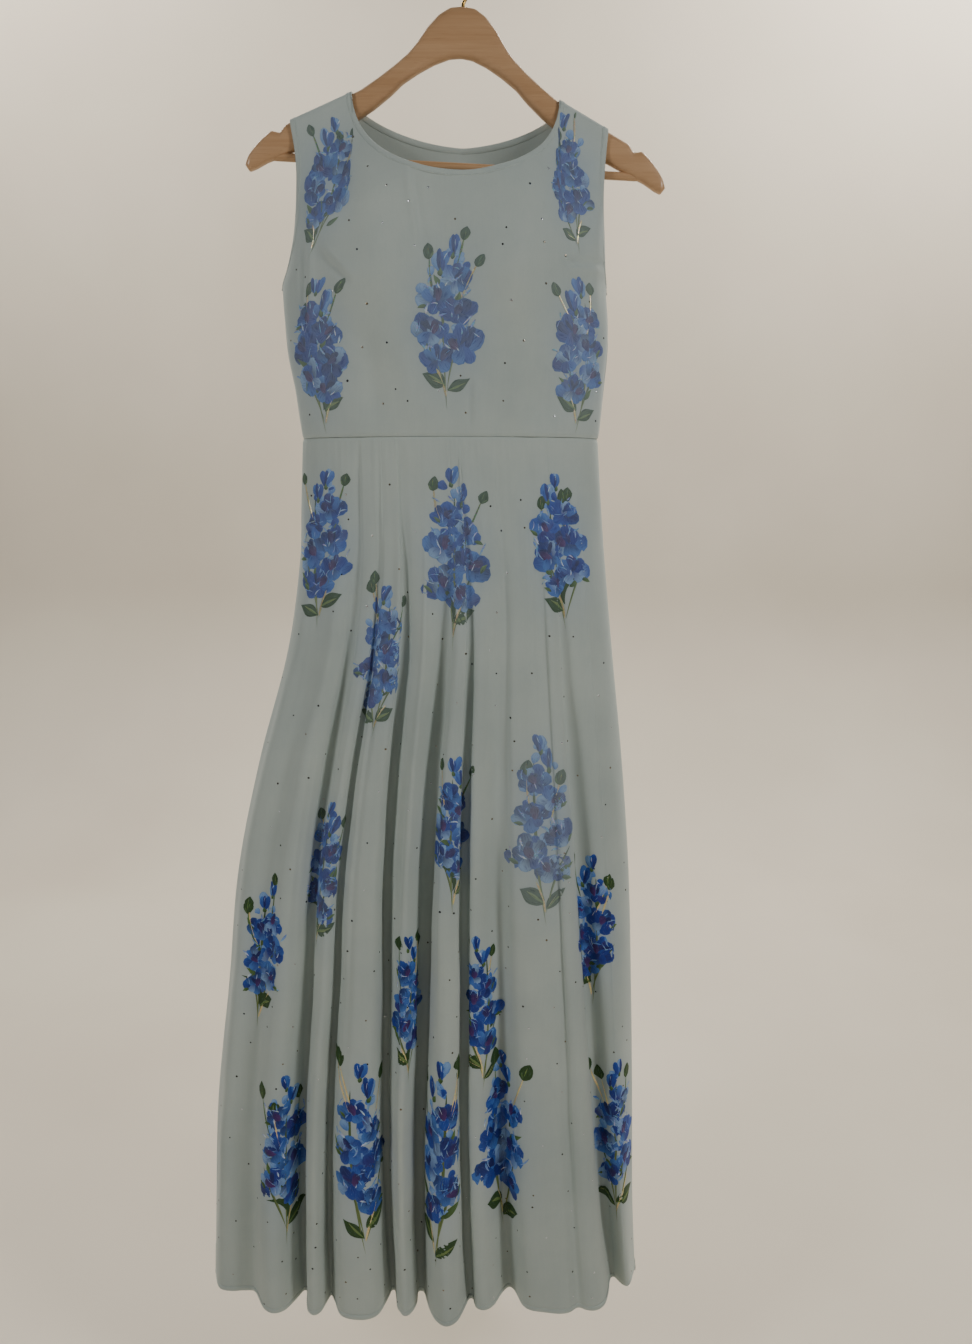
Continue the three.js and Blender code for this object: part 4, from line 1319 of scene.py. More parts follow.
def paint_panel(grid: ClothGrid, sprays: tuple[Spray, ...], seed: int) -> Surface:
    """Lays the sprays of one panel on its cloth.

    Args:
        grid: The panel.
        sprays: The sprays to paint.
        seed: Seed of the brush.

    Returns:
        All the strokes as one surface. Slot 0 is flower and leaf paint, slot 1 is gold.
    """
    painter = SprayPainter(seed)
    parts: list[Surface] = []
    for spray in sprays:
        for kind, strokes in painter.paint(spray).items():
            across, up, lift, colour, pattern = strokes.flat()
            laid, off = grid.place(spray.x, spray.z, across, up, lift)
            middle = laid.shape[1] // 2
            drawn = np.hypot(*(v[:, middle, -1] - v[:, middle, 0] for v in (across, up)))
            wide = np.linalg.norm(laid[:, middle, -1] - laid[:, middle, 0], axis=-1)
            kept = (off.mean(axis=(1, 2)) < 0.12) & (wide < 1.6 * drawn)
            if not kept.any():
                continue
            made = patch_grid(laid[kept], grid.side.turn, (96, 48), pattern[kept])
            made.colour = mix(colour[kept].reshape(-1, 4), np.array([*linear(VEIL), 1.0]), spray.haze)
            made.slots = np.full(len(made.quads), 1 if kind in (Stroke.STEM, Stroke.FLICK) else 0)
            parts.append(made)
    whole = join(parts)
    spread_bake_cells(whole, parts)
    return whole


def spread_bake_cells(whole: Surface, parts: list[Surface]) -> None:
    """Gives every patch of a joined surface its own cell of the bake map.

    Args:
        whole: The joined surface, whose bake map is rewritten.
        parts: The surfaces it was joined from, each with patches of one size.
    """
    sizes = []
    for part in parts:
        first = part.quads[0]
        columns = max(abs(int(first[1] - first[0])), abs(int(first[2] - first[1])))
        patch_cells = int(np.argmax(np.diff(part.quads.min(axis=1), append=10 ** 9) > columns)) + 1
        patch_cells = patch_cells if len(part.quads) % patch_cells == 0 else len(part.quads)
        sizes.append(patch_cells)
    total = sum(len(p.quads) // s for p, s in zip(parts, sizes))
    across = int(math.ceil(math.sqrt(total)))
    start, number = 0, 0
    for part, size in zip(parts, sizes):
        patches = len(part.quads) // size
        uv = whole.bake_uv[start:start + len(part.quads)].reshape(patches, size, 4, 2)
        low, high = uv.min(axis=(1, 2), keepdims=True), uv.max(axis=(1, 2), keepdims=True)
        local = 0.06 + 0.88 * (uv - low) / np.maximum(high - low, 1e-9)
        cell = number + np.arange(patches)
        corner = np.stack([cell % across, cell // across], axis=1)[:, None, None]
        whole.bake_uv[start:start + len(part.quads)] = ((corner + local) / across).reshape(-1, 4, 2)
        start += len(part.quads)
        number += patches


def wash_of(grid: ClothGrid, sprays: tuple[Spray, ...]) -> Array:
    """The pale wash of blue under the sprays: a soft oval round each one."""
    wash = np.zeros(grid.shape)
    for spray in sprays:
        columns = np.full(grid.shape, grid.column_at(spray.x, spray.z))
        rows = np.broadcast_to(np.arange(grid.shape[0])[:, None], grid.shape).astype(float)
        across = grid.arc - grid.sample(grid.arc, rows, columns)
        up = grid.points[..., 2] - spray.z
        oval = (across / (spray.width * 0.5)) ** 2 + ((up + 0.02 * spray.height) / (spray.height * 0.36)) ** 2
        wash = np.maximum(wash, np.exp(-oval * 1.3))
    return wash


# ---- sequins
@dataclass
class Sequins:
    """Small round sequins scattered over the cloth."""

    seed: int
    spacing: float = 46.0
    radius: float = 1.35

    def scatter(self, grid: ClothGrid, low_z: float, high_z: float) -> Surface:
        """Domed discs, a square patch of nine cells mapped to a circle, about one to a spacing.

        Args:
            grid: The panel they are sewn to.
            low_z: Lowest height of the stretch.
            high_z: Highest height of the stretch.

        Returns:
            The discs as one surface, with a random value for each in the field "chance".
        """
        rng = np.random.default_rng(self.seed)
        rows = []
        for k, z in enumerate(np.arange(low_z, high_z, self.spacing * 0.86)):
            row = grid.row_at(np.array([z]), np.array([grid.shape[1] / 2]))
            length = float(grid.sample(grid.arc, row, np.array([grid.shape[1] - 1.01]))[0])
            for s in np.arange((k % 2) * 0.5 + 0.4, length / self.spacing - 0.2, 1.0):
                rows.append((s * self.spacing + rng.uniform(-15, 15), z + rng.uniform(-15, 15), rng.random()))
        along, height, chance = np.array(rows).T
        column = np.full(len(along), grid.shape[1] / 2)
        for _ in range(14):
            row = grid.row_at(height, column)
            here = grid.sample(grid.arc, row, column)
            rate = grid.sample(grid.arc, row, column + 1) - grid.sample(grid.arc, row, column - 1)
            column = np.clip(column + (along - here) * 2 / np.maximum(rate, 0.4), -3, grid.shape[1] + 2)
        top = np.interp(column, np.arange(grid.shape[1]), grid.top_z)
        kept = (column > 6) & (column < grid.shape[1] - 7) & (height < top - 12)
        column, height, chance = column[kept], height[kept], chance[kept]
        row = grid.row_at(height, column)
        centre = grid.sample(grid.points, row, column)
        normal = unit(grid.sample(grid.normals, row, column) + rng.normal(0, 0.07, (len(column), 3)))
        aside = unit(np.cross(normal, np.array([0.0, 0.0, 1.0])))
        above = np.cross(aside, normal)
        axis = np.array([-1.0, -0.36, 0.36, 1.0])
        a, b = np.meshgrid(axis, axis)
        disc_a, disc_b = a * np.sqrt(1 - b * b / 2), b * np.sqrt(1 - a * a / 2)
        size = self.radius * mix(0.8, 1.15, rng.random(len(column)))[:, None, None, None]
        dome = (0.42 - 0.5 * (disc_a ** 2 + disc_b ** 2))[None, :, :, None]
        points = (centre[:, None, None] + aside[:, None, None] * disc_a[None, :, :, None] * size
                  + above[:, None, None] * disc_b[None, :, :, None] * size + normal[:, None, None] * dome)
        cells = int(math.ceil(math.sqrt(len(points))))
        pattern = np.broadcast_to(np.stack([a, b], axis=-1)[None], (*points.shape[:3], 2))
        cross = np.cross(points[0, 1, 0] - points[0, 0, 0], points[0, 0, 1] - points[0, 0, 0])
        turn = 1 if np.dot(cross, normal[0]) > 0 else -1
        made = patch_grid(points, turn, (cells, cells), pattern)
        made.fields["chance"] = np.repeat(chance, a.size)
        return made


# ---- hanger
@dataclass
class Hanger:
    """The wooden hanger: contoured arms, a dowel bar and a wire hook, all tilted as one."""

    tilt: float = math.radians(3)
    thickness: float = 14.0
    bar_z: float = -212.5
    bar_radius: float = 4.3
    bar_half: float = 198.0
    wire: float = 1.9
    hook_inner: float = 19.0
    top: tuple[tuple[float, float], ...] = (
        (0, -57), (13, -58.5), (25, -66), (37, -79), (47, -94), (57, -106), (71, -118), (88, -131),
        (105, -143), (146, -163), (184, -181), (188, -188.5), (193, -188.5), (198, -187), (206, -193.5),
        (216, -204.5), (223, -215), (225.7, -222.5))
    underside: tuple[tuple[float, float], ...] = (
        (0, -106), (12, -107.5), (28, -114), (44, -123), (60, -134), (72, -146), (90, -161), (120, -181),
        (158, -199.5), (190, -214), (202, -219), (214, -226), (222, -229), (225.7, -222.7))

    def tilted(self, points: Array) -> Array:
        """Points turned about the hook with the hanger."""
        c, s = math.cos(self.tilt), math.sin(self.tilt)
        x, y, z = points[..., 0], points[..., 1], points[..., 2]
        return np.stack([x * c + z * s, y, -x * s + z * c], axis=-1)

    @staticmethod
    def rounded(knots: tuple[tuple[float, float], ...], x: Array) -> Array:
        """A line through knots with its corners softened by a short running mean."""
        table = np.array(knots)
        steps = np.linspace(-2.2, 2.2, 9)
        return np.mean([np.interp(np.abs(x + s), table[:, 0], table[:, 1]) for s in steps], axis=0)

    def arms(self) -> Surface:
        """One closed solid: rounded oblong sections between the top line and the underside."""
        half = self.top[-1][0]
        spread = np.sin(np.linspace(-math.pi / 2, math.pi / 2, 240))
        even = np.linspace(-1, 1, 240)
        x = half * np.sort(np.concatenate([spread, even[1:-1]]))
        top, bottom = self.rounded(self.top, x), self.rounded(self.underside, x)
        tip, flat = (
            np.sqrt(np.clip(1 - ((np.abs(x) - half + r) / r).clip(0, 1) ** 2, 0.0004, 1)) for r in (5, 7))
        middle, height = (top + bottom) / 2, (top - bottom) / 2 * tip
        angle = np.arange(28) * 2 * math.pi / 28
        power = 2 / 2.9
        y = np.sign(np.cos(angle)) * np.abs(np.cos(angle)) ** power * self.thickness / 2
        z = np.sign(np.sin(angle)) * np.abs(np.sin(angle)) ** power
        rings = np.stack([np.broadcast_to(x[:, None], (len(x), 28)), y[None] * flat[:, None],
                          middle[:, None] + z[None] * height[:, None]], axis=-1)
        return tube(self.tilted(rings)[:, ::-1], 100.0)

    def bar(self) -> Surface:
        """A round dowel, a little uneven in thickness as turned wood is."""
        x = np.linspace(-self.bar_half, self.bar_half, 60)
        path = np.stack([x, np.zeros(60), np.full(60, self.bar_z)], axis=1)
        end = np.where(np.abs(x) > self.bar_half - 1, 0.94, 1)
        radii = self.bar_radius * (0.985 + 0.012 * np.sin(x / 31)) * end
        rings = sweep(path, radii, np.array([0.0, 1.0, 0.0]), 28)
        return tube(self.tilted(rings), 100.0)

    def hook(self) -> Surface:
        """Round wire: a shank, a sweep to the right and an arc over the top to a rounded end."""
        radius = self.hook_inner + self.wire
        arc = np.radians(np.linspace(-50, 200, 70))
        loop = np.stack([radius * np.cos(arc), -self.hook_inner + radius * np.sin(arc)], axis=1)
        t = np.linspace(0, 1, 26)[:, None]
        foot, knee = np.array([0, -55.0]), loop[0]
        leave = np.array([0, 13.0])
        meet = np.array([-math.sin(arc[0]), math.cos(arc[0])]) * 17
        sweep_out = ((2 * t ** 3 - 3 * t ** 2 + 1) * foot + (t ** 3 - 2 * t ** 2 + t) * leave
                     + (3 * t ** 2 - 2 * t ** 3) * knee + (t ** 3 - t ** 2) * meet)
        shank = np.stack([np.zeros(8), np.linspace(-78, -56.5, 8)], axis=1)
        flat = np.concatenate([shank, sweep_out, loop[1:]])
        tip = unit((flat[-1] - flat[-2])[None])[0]
        ends = flat[-1] + np.array([0.7, 1.3, 1.7, 1.88])[:, None] * tip
        flat = np.concatenate([flat, ends])
        shrink = self.wire * np.array([0.92, 0.72, 0.42, 0.1])
        radii = np.concatenate([np.full(len(flat) - len(shrink), self.wire), shrink])
        path = np.stack([flat[:, 0], np.zeros(len(flat)), flat[:, 1]], axis=1)
        return tube(self.tilted(sweep(path, radii, np.array([0.0, 1.0, 0.0]), 18)), 10.0)


# ---- finishes
class Nodes:
    """A short way to add nodes to a tree and link them."""

    def __init__(self, tree: bpy.types.NodeTree) -> None:
        """Keeps the tree that nodes are added to."""
        self.tree = tree

    def add(self, kind: str, **values: object) -> bpy.types.Node:
        """Adds a node and feeds it.

        Args:
            kind: The node's type, without its ShaderNode prefix.
            **values: Properties and inputs, named as for feed.

        Returns:
            The node.
        """
        node = self.tree.nodes.new("ShaderNode" + kind)
        self.feed(node, **values)
        return node

    def feed(self, node: bpy.types.Node, **values: object) -> None:
        """Sets a node's properties, and sets or links its inputs.

        Args:
            node: The node.
            **values: Property names, or input names with their spaces as underscores, or the
                letter i and the number of an input.
        """
        for name, value in values.items():
            if name in node.bl_rna.properties.keys():
                setattr(node, name, value)
                continue
            key = int(name[1:]) if name[0] == "i" and name[1:].isdigit() else name.replace("_", " ")
            if isinstance(value, Socket):
                self.tree.links.new(value, node.inputs[key])
            else:
                node.inputs[key].default_value = value

    def object_place(self) -> Socket:
        """Coordinates on the object, in metres."""
        return self.add("TexCoord").outputs["Object"]

    def noise(self, vector: Socket, scale: float, **values: float) -> Socket:
        """Value of a noise."""
        return self.add("TexNoise", Vector=vector, Scale=scale, **values).outputs[0]

    def bump(self, height: Socket, strength: float, distance: float) -> Socket:
        """Normal bent by a height, whose whole range is a distance in metres."""
        return self.add("Bump", Height=height, Strength=strength, Distance=distance).outputs[0]

    def ramp(self, value: Socket, stops: list[tuple[float, str]]) -> Socket:
        """A colour ramp through the given places and colours."""
        node = self.add("ValToRGB", Fac=value)
        elements = node.color_ramp.elements
        while len(elements) < len(stops):
            elements.new(0.5)
        for element, (place, code) in zip(elements, stops):
            element.position = place
            element.color = (*linear(code), 1.0)
        return node.outputs["Color"]

    def blend(self, factor: Socket | float, first: Socket, second: Socket | Place,
              way: str = "MIX") -> Socket:
        """A mix of two colours."""
        if not isinstance(second, Socket):
            second = (*second, 1.0)
        if not isinstance(first, Socket):
            first = (*first, 1.0)
        return self.add("Mix", data_type="RGBA", blend_type=way, i0=factor, i6=first, i7=second).outputs[2]

    def math(self, way: str, first: Socket | float, second: Socket | float = 0.0, third: float = 0.5,
             hold: bool = False) -> Socket:
        """One sum on two values, or on three where the way takes them."""
        return self.add("Math", operation=way, use_clamp=hold, i0=first, i1=second, i2=third).outputs[0]

    def total(self, *terms: tuple[Socket, float]) -> Socket:
        """Sum of values times their weights."""
        parts = [self.math("MULTIPLY", value, weight) for value, weight in terms]
        whole = parts[0]
        for part in parts[1:]:
            whole = self.math("ADD", whole, part)
        return whole


def new_group(name: str, amounts: dict[str, float]) -> tuple[
        bpy.types.NodeTree, Nodes, bpy.types.NodeOutputs, bpy.types.Node]:
    """An empty shader node group: a vector and some amounts in, a height and a tone out.

    Args:
        name: Name of the group.
        amounts: Name and default of each amount.

    Returns:
        The group, a helper for it, its inputs as sockets, and its output node.
    """
    tree = bpy.data.node_groups.new(name, "ShaderNodeTree")
    tree.interface.new_socket("Vector", in_out="INPUT", socket_type="NodeSocketVector")
    for label, default in amounts.items():
        socket = tree.interface.new_socket(label, in_out="INPUT", socket_type="NodeSocketFloat")
        socket.default_value = default
    for label in ("Height", "Tone"):
        tree.interface.new_socket(label, in_out="OUTPUT", socket_type="NodeSocketFloat")
    entry, leave = tree.nodes.new("NodeGroupInput"), tree.nodes.new("NodeGroupOutput")
    return tree, Nodes(tree), entry.outputs, leave


def crepe_group() -> bpy.types.NodeTree:
    """Crepe's surface: fine crossed threads, broken up by a pebbled twist, and long slubs."""
    tree, n, given, leave = new_group("CrepeSurface", {"Threads": 900.0, "Pebble": 420.0})
    vector = given["Vector"]
    pebble = n.noise(vector, given["Pebble"], Detail=3.0, Roughness=0.6)
    fine = n.add("TexVoronoi", Vector=vector, Scale=given["Threads"], Randomness=0.8).outputs[0]
    slub_vector = n.add("Mapping", Vector=vector, Scale=(420.0, 420.0, 26.0)).outputs[0]
    slub = n.noise(slub_vector, 1.0, Detail=2.0)
    cloud = n.noise(vector, 6.0, Detail=5.0, Roughness=0.6)
    n.feed(leave, Height=n.total((pebble, 0.7), (fine, 0.5), (slub, 0.12)),
           Tone=n.total((cloud, 0.82), (slub, 0.09), (pebble, 0.09)))
    return tree


def wood_group() -> bpy.types.NodeTree:
    """Close straight grain: long stretched noise for the rings and short dark pores."""
    tree, n, given, leave = new_group("WoodGrain", {"Length": 9.0, "Rings": 330.0})
    stretch = n.add("CombineXYZ", X=given["Length"], Y=given["Rings"], Z=given["Rings"]).outputs[0]
    along = n.add("Mapping", Vector=given["Vector"], Scale=stretch).outputs[0]
    rings = n.noise(along, 1.0, Detail=5.0, Roughness=0.62, Distortion=0.4)
    broad = n.noise(along, 0.22, Detail=2.0)
    dark = n.math("GREATER_THAN", n.noise(along, 3.2, Detail=1.0), 0.66)
    n.feed(leave, Height=n.math("SUBTRACT", rings, n.math("MULTIPLY", dark, 0.5)),
           Tone=n.math("SUBTRACT", n.total((rings, 0.6), (broad, 0.45)), n.math("MULTIPLY", dark, 0.12)))
    return tree


def new_material(name: str) -> tuple[Material, Nodes, bpy.types.Node]:
    """A material with its shader node ready to be fed.

    Args:
        name: Name of the material.

    Returns:
        The material, a helper for its nodes, and its Principled BSDF.
    """
    material = bpy.data.materials.new(name)
    material.use_nodes = True
    return material, Nodes(material.node_tree), material.node_tree.nodes["Principled BSDF"]


@dataclass(frozen=True)
class CrepeFinish:
    """Matt pale crepe, washed with blue under the sprays."""

    light: str = "bac4be"
    shade: str = "a8b4b1"
    wash: str = "7f9bc4"
    wash_strength: float = 0.24
    roughness: float = 0.86
    sheen: float = 0.18

    def material(self, surface: bpy.types.NodeTree) -> Material:
        """The material, with its surface from the crepe group."""
        material, n, shader = new_material("crepe")
        place = n.object_place()
        weave = n.add("Group", node_tree=surface, Vector=place).outputs
        tone = n.ramp(weave["Tone"], [(0.3, self.shade), (0.68, self.light)])
        wash = n.add("Attribute", attribute_name="wash").outputs["Fac"]
        blot = n.noise(place, 34.0, Detail=3.0, Roughness=0.6)
        patchy = n.math("MULTIPLY", wash, n.math("MULTIPLY_ADD", blot, 1.7, 0.5))
        patchy = n.math("MULTIPLY", patchy, self.wash_strength, hold=True)
        n.feed(shader, Base_Color=n.blend(patchy, tone, linear(self.wash)),
               Normal=n.bump(weave["Height"], 0.22, 0.0004), Roughness=self.roughness,
               Sheen_Weight=self.sheen, Sheen_Roughness=0.5, Specular_IOR_Level=0.25)
        return material


@dataclass(frozen=True)
class PaintFinish:
    """Fabric paint: the stroke's own colour, streaked along the brush and thin at its edges."""

    roughness: float = 0.6
    streaks: float = 7.0

    def material(self) -> Material:
        """The material."""
        material, n, shader = new_material("fabric_paint")
        own = n.add("Attribute", attribute_name="paint").outputs["Color"]
        brush = n.add("UVMap", uv_map="Pattern").outputs[0]
        mapped = n.add("Mapping", Vector=brush, Scale=(0.9, self.streaks, 1.0)).outputs[0]
        streak = n.noise(mapped, 1.6, Detail=3.0, Roughness=0.65)
        pale = n.blend(0.3, own, linear("9dbce6"))
        deep = n.blend(1.0, own, (0.5, 0.48, 0.62), "MULTIPLY")
        body = n.blend(n.ramp(streak, [(0.58, "000000"), (0.8, "ffffff")]), own, pale)
        body = n.blend(n.ramp(streak, [(0.28, "ffffff"), (0.48, "000000")]), body, deep)
        grain = n.noise(n.object_place(), 700.0, Detail=2.0)
        n.feed(shader, Base_Color=body, Normal=n.bump(n.total((streak, 0.8), (grain, 0.4)), 0.3, 0.0003),
               Roughness=self.roughness, Specular_IOR_Level=0.35)
        return material


@dataclass(frozen=True)
class GlitterFinish:
    """Stem paint with gold glitter in it where its own colour is gold."""

    def material(self) -> Material:
        """The material."""
        material, n, shader = new_material("glitter_paint")
        own = n.add("Attribute", attribute_name="paint").outputs["Color"]
        parts = n.add("SeparateColor", Color=own).outputs
        gold = n.math("MULTIPLY", n.math("SUBTRACT", parts[0], parts[2]), 3.2, hold=True)
        spark = n.add("TexVoronoi", Vector=n.object_place(), Scale=1100.0).outputs["Color"]
        n.feed(shader, Base_Color=n.blend(0.55, own, spark, "SOFT_LIGHT"),
               Metallic=n.math("MULTIPLY", gold, 0.55),
               Roughness=n.math("SUBTRACT", 0.62, n.math("MULTIPLY", gold, 0.3)))
        return material


@dataclass(frozen=True)
class SequinFinish:
    """Small metallic discs: most are dark steel blue, some pale silver or bronze."""

    def material(self) -> Material:
        """The material."""
        material, n, shader = new_material("sequin")
        chance = n.add("Attribute", attribute_name="chance").outputs["Fac"]
        colour = n.ramp(chance, [(0.0, "2e3440"), (0.5, "49423a"), (0.66, "8d7f66"), (0.86, "d7dbe0")])
        rough = n.math("MULTIPLY_ADD", n.noise(n.object_place(), 900.0), 0.2, 0.18)
        n.feed(shader, Base_Color=colour, Roughness=rough, Metallic=0.85)
        return material


@dataclass(frozen=True)
class ThreadFinish:
    """Sewing thread a shade lighter than the cloth, with its twist as a fine ribbing."""

    colour: str = "b9c6c4"
    shade: str = "8f9d9d"

    def material(self) -> Material:
        """The material."""
        material, n, shader = new_material("thread")
        twist = n.add("TexWave", Vector=n.object_place(), Scale=1400.0, Distortion=0.6).outputs[1]
        tone = n.blend(n.math("MULTIPLY", twist, 0.5), linear(self.colour), linear(self.shade))
        n.feed(shader, Base_Color=tone, Normal=n.bump(twist, 0.3, 0.0001), Roughness=0.7)
        return material


@dataclass(frozen=True)
class WoodFinish:
    """Varnished beech with close grain."""

    name: str
    light: str = "caa27a"
    dark: str = "b0875f"
    roughness: float = 0.42

    def material(self, grain: bpy.types.NodeTree) -> Material:
        """The material, with its grain from the wood group."""
        material, n, shader = new_material(self.name)
        wood = n.add("Group", node_tree=grain, Vector=n.object_place()).outputs
        n.feed(shader, Base_Color=n.ramp(wood["Tone"], [(0.25, self.dark), (0.75, self.light)]),
               Normal=n.bump(wood["Height"], 0.18, 0.0003),
               Roughness=n.math("MULTIPLY_ADD", wood["Tone"], 0.25, self.roughness - 0.12),
               Coat_Weight=0.25, Coat_Roughness=0.2)
        return material


@dataclass(frozen=True)
class WireFinish:
    """Brass-plated wire, dulled in patches by handling."""

    bright: str = "caa55c"
    dull: str = "8d7043"

    def material(self) -> Material:
        """The material."""
        material, n, shader = new_material("hook_wire")
        place = n.object_place()
        worn = n.noise(place, 60.0, Detail=5.0, Roughness=0.7)
        n.feed(shader, Base_Color=n.ramp(worn, [(0.35, self.dull), (0.6, self.bright)]),
               Normal=n.bump(n.noise(place, 900.0, Detail=2.0), 0.08, 0.0001),
               Roughness=n.math("MULTIPLY_ADD", worn, 0.3, 0.12), Metallic=1.0)
        return material


# ---- the studio
@dataclass
class Studio:
    """Plain pale floor and wall, soft lights and the camera."""

    floor_z: float = -1.80
    wall_y: float = 2.7
    camera: Place = (0.021, -1.12, -0.565)
    pitch: float = math.radians(10)
    lens: float = 26.0
    sun: Place = (1.0, 0.975, 0.94)
    soft: Place = (1.0, 0.98, 0.95)
    lamp: Place = (1.0, 0.93, 0.83)

    def backdrop(self) -> bpy.types.Object:
        """Floor and wall as one sheet, joined by a quarter circle."""
        radius = 0.9
        turn = np.linspace(0, math.pi / 2, 24)
        bend_y = self.wall_y - radius + radius * np.sin(turn)
        bend_z = self.floor_z + radius - radius * np.cos(turn)
        profile = np.concatenate([
            [[-3.2, self.floor_z]], np.stack([bend_y, bend_z], axis=1), [[self.wall_y, 2.4]]])
        across = np.linspace(-3.6, 3.6, 9)
        parts = (across[:, None], profile[None, :, 0], profile[None, :, 1])
        points = np.stack([np.broadcast_to(part, (9, len(profile))) for part in parts], axis=-1) / MM
        quads = grid_quads(9, len(profile))
        flat = np.zeros((len(quads), 4, 2))
        material, n, shader = new_material("studio_wall")
        cloud = n.noise(n.object_place(), 1.4, Detail=3.0)
        n.feed(shader, Base_Color=n.ramp(cloud, [(0.3, "dad2c4"), (0.7, "e3dcce")]), Roughness=0.9)
        return Surface(points.reshape(-1, 3), quads, flat, flat).to_object("studio_backdrop", [material])

    def light(self, name: str, place: Place, aim: Place, size: tuple[float, float], power: float,
              colour: Place) -> None:
        """An oblong area light aimed at a point.

        Args:
            name: Its name.
            place: Where it stands.
            aim: What it points at.
            size: Width and height, in metres.
            power: Power in watts.
            colour: Its colour.
        """
        data = bpy.data.lights.new(name, "AREA")
        data.shape, (data.size, data.size_y) = "RECTANGLE", size
        data.energy, data.color = power, colour
        made = bpy.data.objects.new(name, data)
        bpy.context.scene.collection.objects.link(made)
        made.location = place
        way = np.array(aim) - np.array(place)
        made.rotation_euler = (math.atan2(math.hypot(way[0], way[1]), -way[2]), 0,
                               math.atan2(way[1], way[0]) - math.pi / 2)

    def build(self) -> None:
        """Adds the backdrop, the lights and the camera."""
        self.backdrop()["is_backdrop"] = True
        for light in (
                ("key_left", (-1.6, -1.35, 0.15), (0, 0, -1.25), (0.45, 0.45), 15, self.sun),
                ("key_right", (1.55, -1.2, 0.25), (0, 0, -1.2), (0.45, 0.45), 18.5, self.sun),
                ("front_fill", (0.1, -2.6, -0.6), (0, 0, -1.1), (1.0, 1.0), 0.8, self.soft),
                ("back_left", (-1.6, 1.25, 0.3), (0, 0, -1.2), (0.45, 0.45), 4, self.soft),
                ("back_right", (1.6, 1.15, 0.3), (0, 0, -1.2), (0.45, 0.45), 2.5, self.soft),
                ("wall_left", (-1.9, 1.5, 2.2), (-1.4, 2.7, -0.3), (1.0, 0.5), 76, self.lamp),
                ("wall_right", (1.9, 1.5, 2.2), (1.4, 2.7, -0.3), (1.0, 0.5), 118, self.lamp)):
            self.light(*light)
        world = bpy.data.worlds.new("studio_air")
        world.use_nodes = True
        air = world.node_tree.nodes["Background"]
        Nodes(world.node_tree).feed(air, Color=(0.72, 0.86, 1.0, 1.0), Strength=0.06)
        bpy.context.scene.world = world
        data = bpy.data.cameras.new("camera")
        data.lens, data.sensor_width, data.sensor_fit = self.lens, 36.0, "AUTO"
        camera = bpy.data.objects.new("camera", data)
        bpy.context.scene.collection.objects.link(camera)
        camera.location = self.camera
        camera.rotation_euler = (math.pi / 2 - self.pitch, 0, 0)
        bpy.context.scene.camera = camera


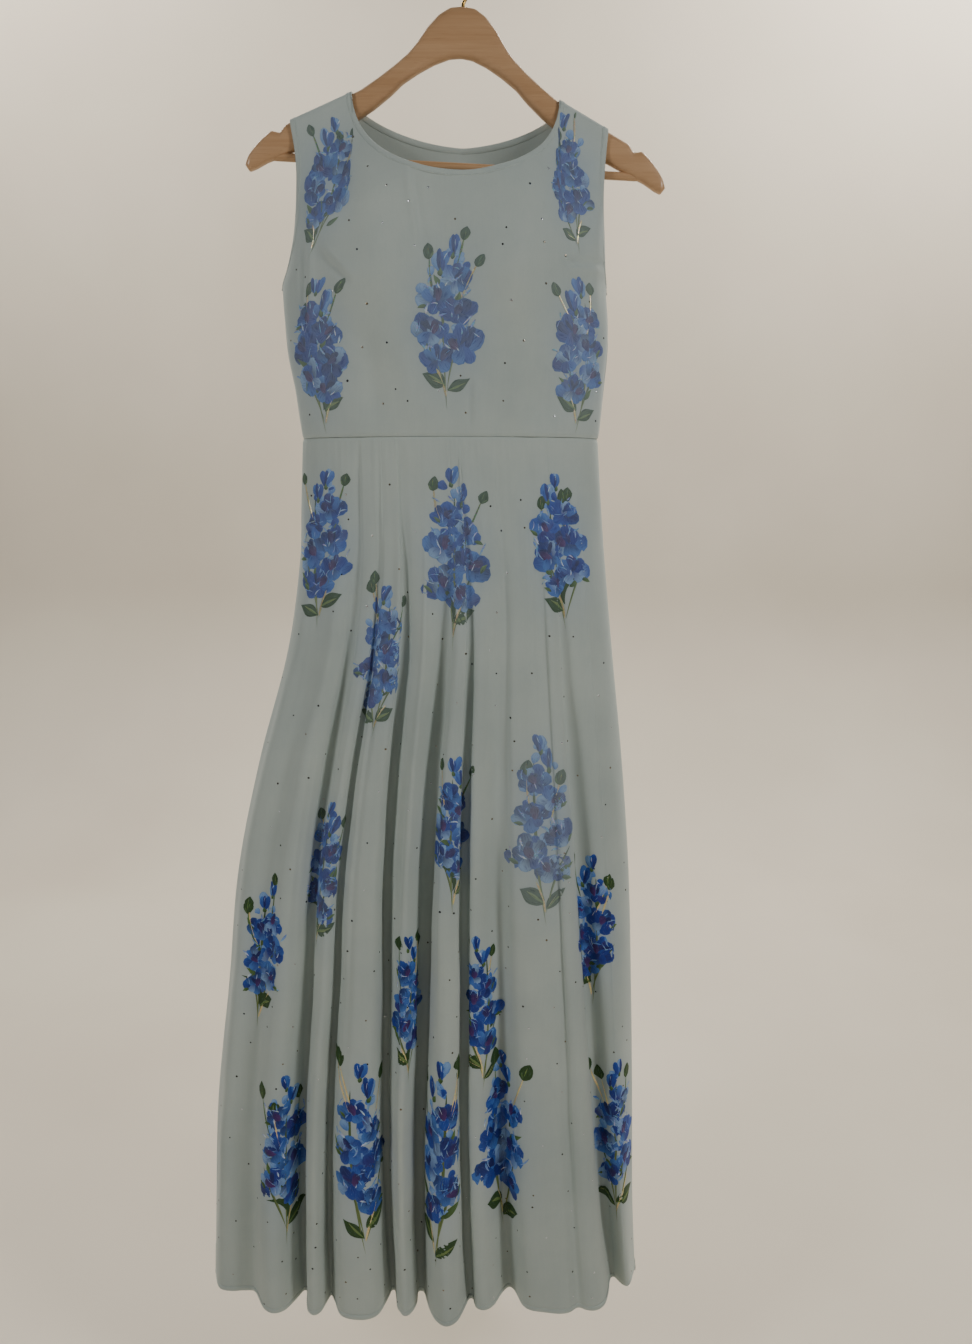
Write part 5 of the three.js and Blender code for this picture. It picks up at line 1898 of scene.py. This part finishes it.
# ---- putting it together
@dataclass
class Kurta:
    """The garment: builds and finishes every cloth piece."""

    crepe: Material
    paint: Material
    glitter: Material
    sequin: Material
    thread: Material
    bodice: Bodice = field(default_factory=Bodice)
    skirt: Skirt = field(default_factory=Skirt)
    edges: EdgeFinish = field(default_factory=EdgeFinish)

    def piece(self, surface: Surface, name: str, finishes: list[Material]) -> bpy.types.Object:
        """Makes an object that rides with the body."""
        made = surface.to_object(name, finishes)
        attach(made, BODY)
        LOG.info("%s: %d triangles", name, 2 * len(surface.quads))
        return made

    def panel(self, name: str, grid: ClothGrid, seed: int,
              edge_runs: list[tuple[str, Array, Array, int]]) -> None:
        """Builds a panel with its turned edges, stitches, sprays and sequins.

        Args:
            name: Node that the panel stands for.
            grid: Its outer face.
            seed: Seed of its paint and sequins.
            edge_runs: Name, rows, columns and flip of each turned edge.
        """
        sprays = SPRAYS[name]
        grid.wash = wash_of(grid, sprays)
        cloth = self.piece(grid.shell(), name + "_cloth", [self.crepe])
        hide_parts(name)
        extras, threads = [], []
        for run_name, rows, columns, flip in edge_runs:
            extras.append(self.piece(self.edges.band(grid, rows, columns, flip), run_name, [self.crepe]))
            threads.append(self.edges.stitches(grid, rows, columns, flip))
        extras.append(self.piece(join(threads), name + "_stitches", [self.thread]))
        painting = paint_panel(grid, sprays, seed)
        extras.append(self.piece(painting, name + "_painting", [self.paint, self.glitter]))
        heights = grid.points[..., 2]
        discs = Sequins(seed).scatter(grid, float(heights.min()) + 22, float(heights.max()) - 26)
        extras.append(self.piece(discs, name + "_sequins", [self.sequin]))

    @staticmethod
    def area(grid: ClothGrid) -> float:
        """Area of a panel's outer face, in square metres."""
        down, across = np.diff(grid.points, axis=0)[:, :-1], np.diff(grid.points, axis=1)[:-1]
        return float(np.linalg.norm(np.cross(down, across), axis=-1).sum()) * MM * MM

    def build(self) -> None:
        """Builds the four panels."""
        for seed, side in ((100, Side.FRONT), (200, Side.BACK)):
            grid = self.bodice.grid(side)
            rows, columns = grid.shape
            first, last = self.bodice.shoulder_columns, columns - 1 - self.bodice.shoulder_columns
            neck = np.arange(first, last + 1)
            underarm = int(np.argmin(np.abs(grid.points[:, 0, 2] - self.bodice.underarm_z)))
            armhole, turn = np.arange(underarm + 1), side.turn
            runs = [
                (side.value + "_neck_edge", np.zeros(len(neck), int), neck, -turn),
                (side.value + "_left_armhole_edge", armhole, np.zeros(len(armhole), int), turn),
                (side.value + "_right_armhole_edge", armhole, np.full(len(armhole), columns - 1), -turn),
            ]
            self.panel(side.value + "_bodice", grid, seed, runs)
            grid = self.skirt.grid(side)
            rows, columns = grid.shape
            hem = np.arange(columns)
            runs = [(side.value + "_hem", np.full(columns, rows - 1), hem, turn)]
            self.panel(side.value + "_skirt", grid, seed + 50, runs)


def build_hanger(arms_finish: Material, bar_finish: Material, wire_finish: Material) -> None:
    """Builds the hanger's three pieces and hides the plain ones that they stand for."""
    hanger = Hanger()
    for surface, name, node, slot, finish in (
            (hanger.arms(), "hanger_arms_wood", "hanger_arms", "hanger_wood", arms_finish),
            (hanger.bar(), "hanger_bar_dowel", "hanger_bar", "hanger_wood", bar_finish),
            (hanger.hook(), "hanger_hook_wire", "hanger_hook", "hook_wire", wire_finish)):
        made = surface.to_object(name, [finish])
        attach(made, BODY)
        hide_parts(node)
        LOG.info("%s: %d triangles", name, 2 * len(surface.quads))


def main() -> list[list[float]]:
    """Builds the studio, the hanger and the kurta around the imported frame.

    Returns:
        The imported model's box, lowest and highest corners.
    """
    logging.basicConfig(level=logging.INFO, format="%(name)s: %(message)s")
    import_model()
    packed = [[float(v) for v in corner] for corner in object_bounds()]
    Studio().build()
    wood = wood_group()
    build_hanger(WoodFinish("hanger_wood").material(wood),
                 WoodFinish("hanger_dowel", "c8a078", "ab835a", 0.5).material(wood),
                 WireFinish().material())
    Kurta(CrepeFinish().material(crepe_group()), PaintFinish().material(), GlitterFinish().material(),
          SequinFinish().material(), ThreadFinish().material()).build()
    return packed


if __name__ == "__main__":
    packed_box = main()
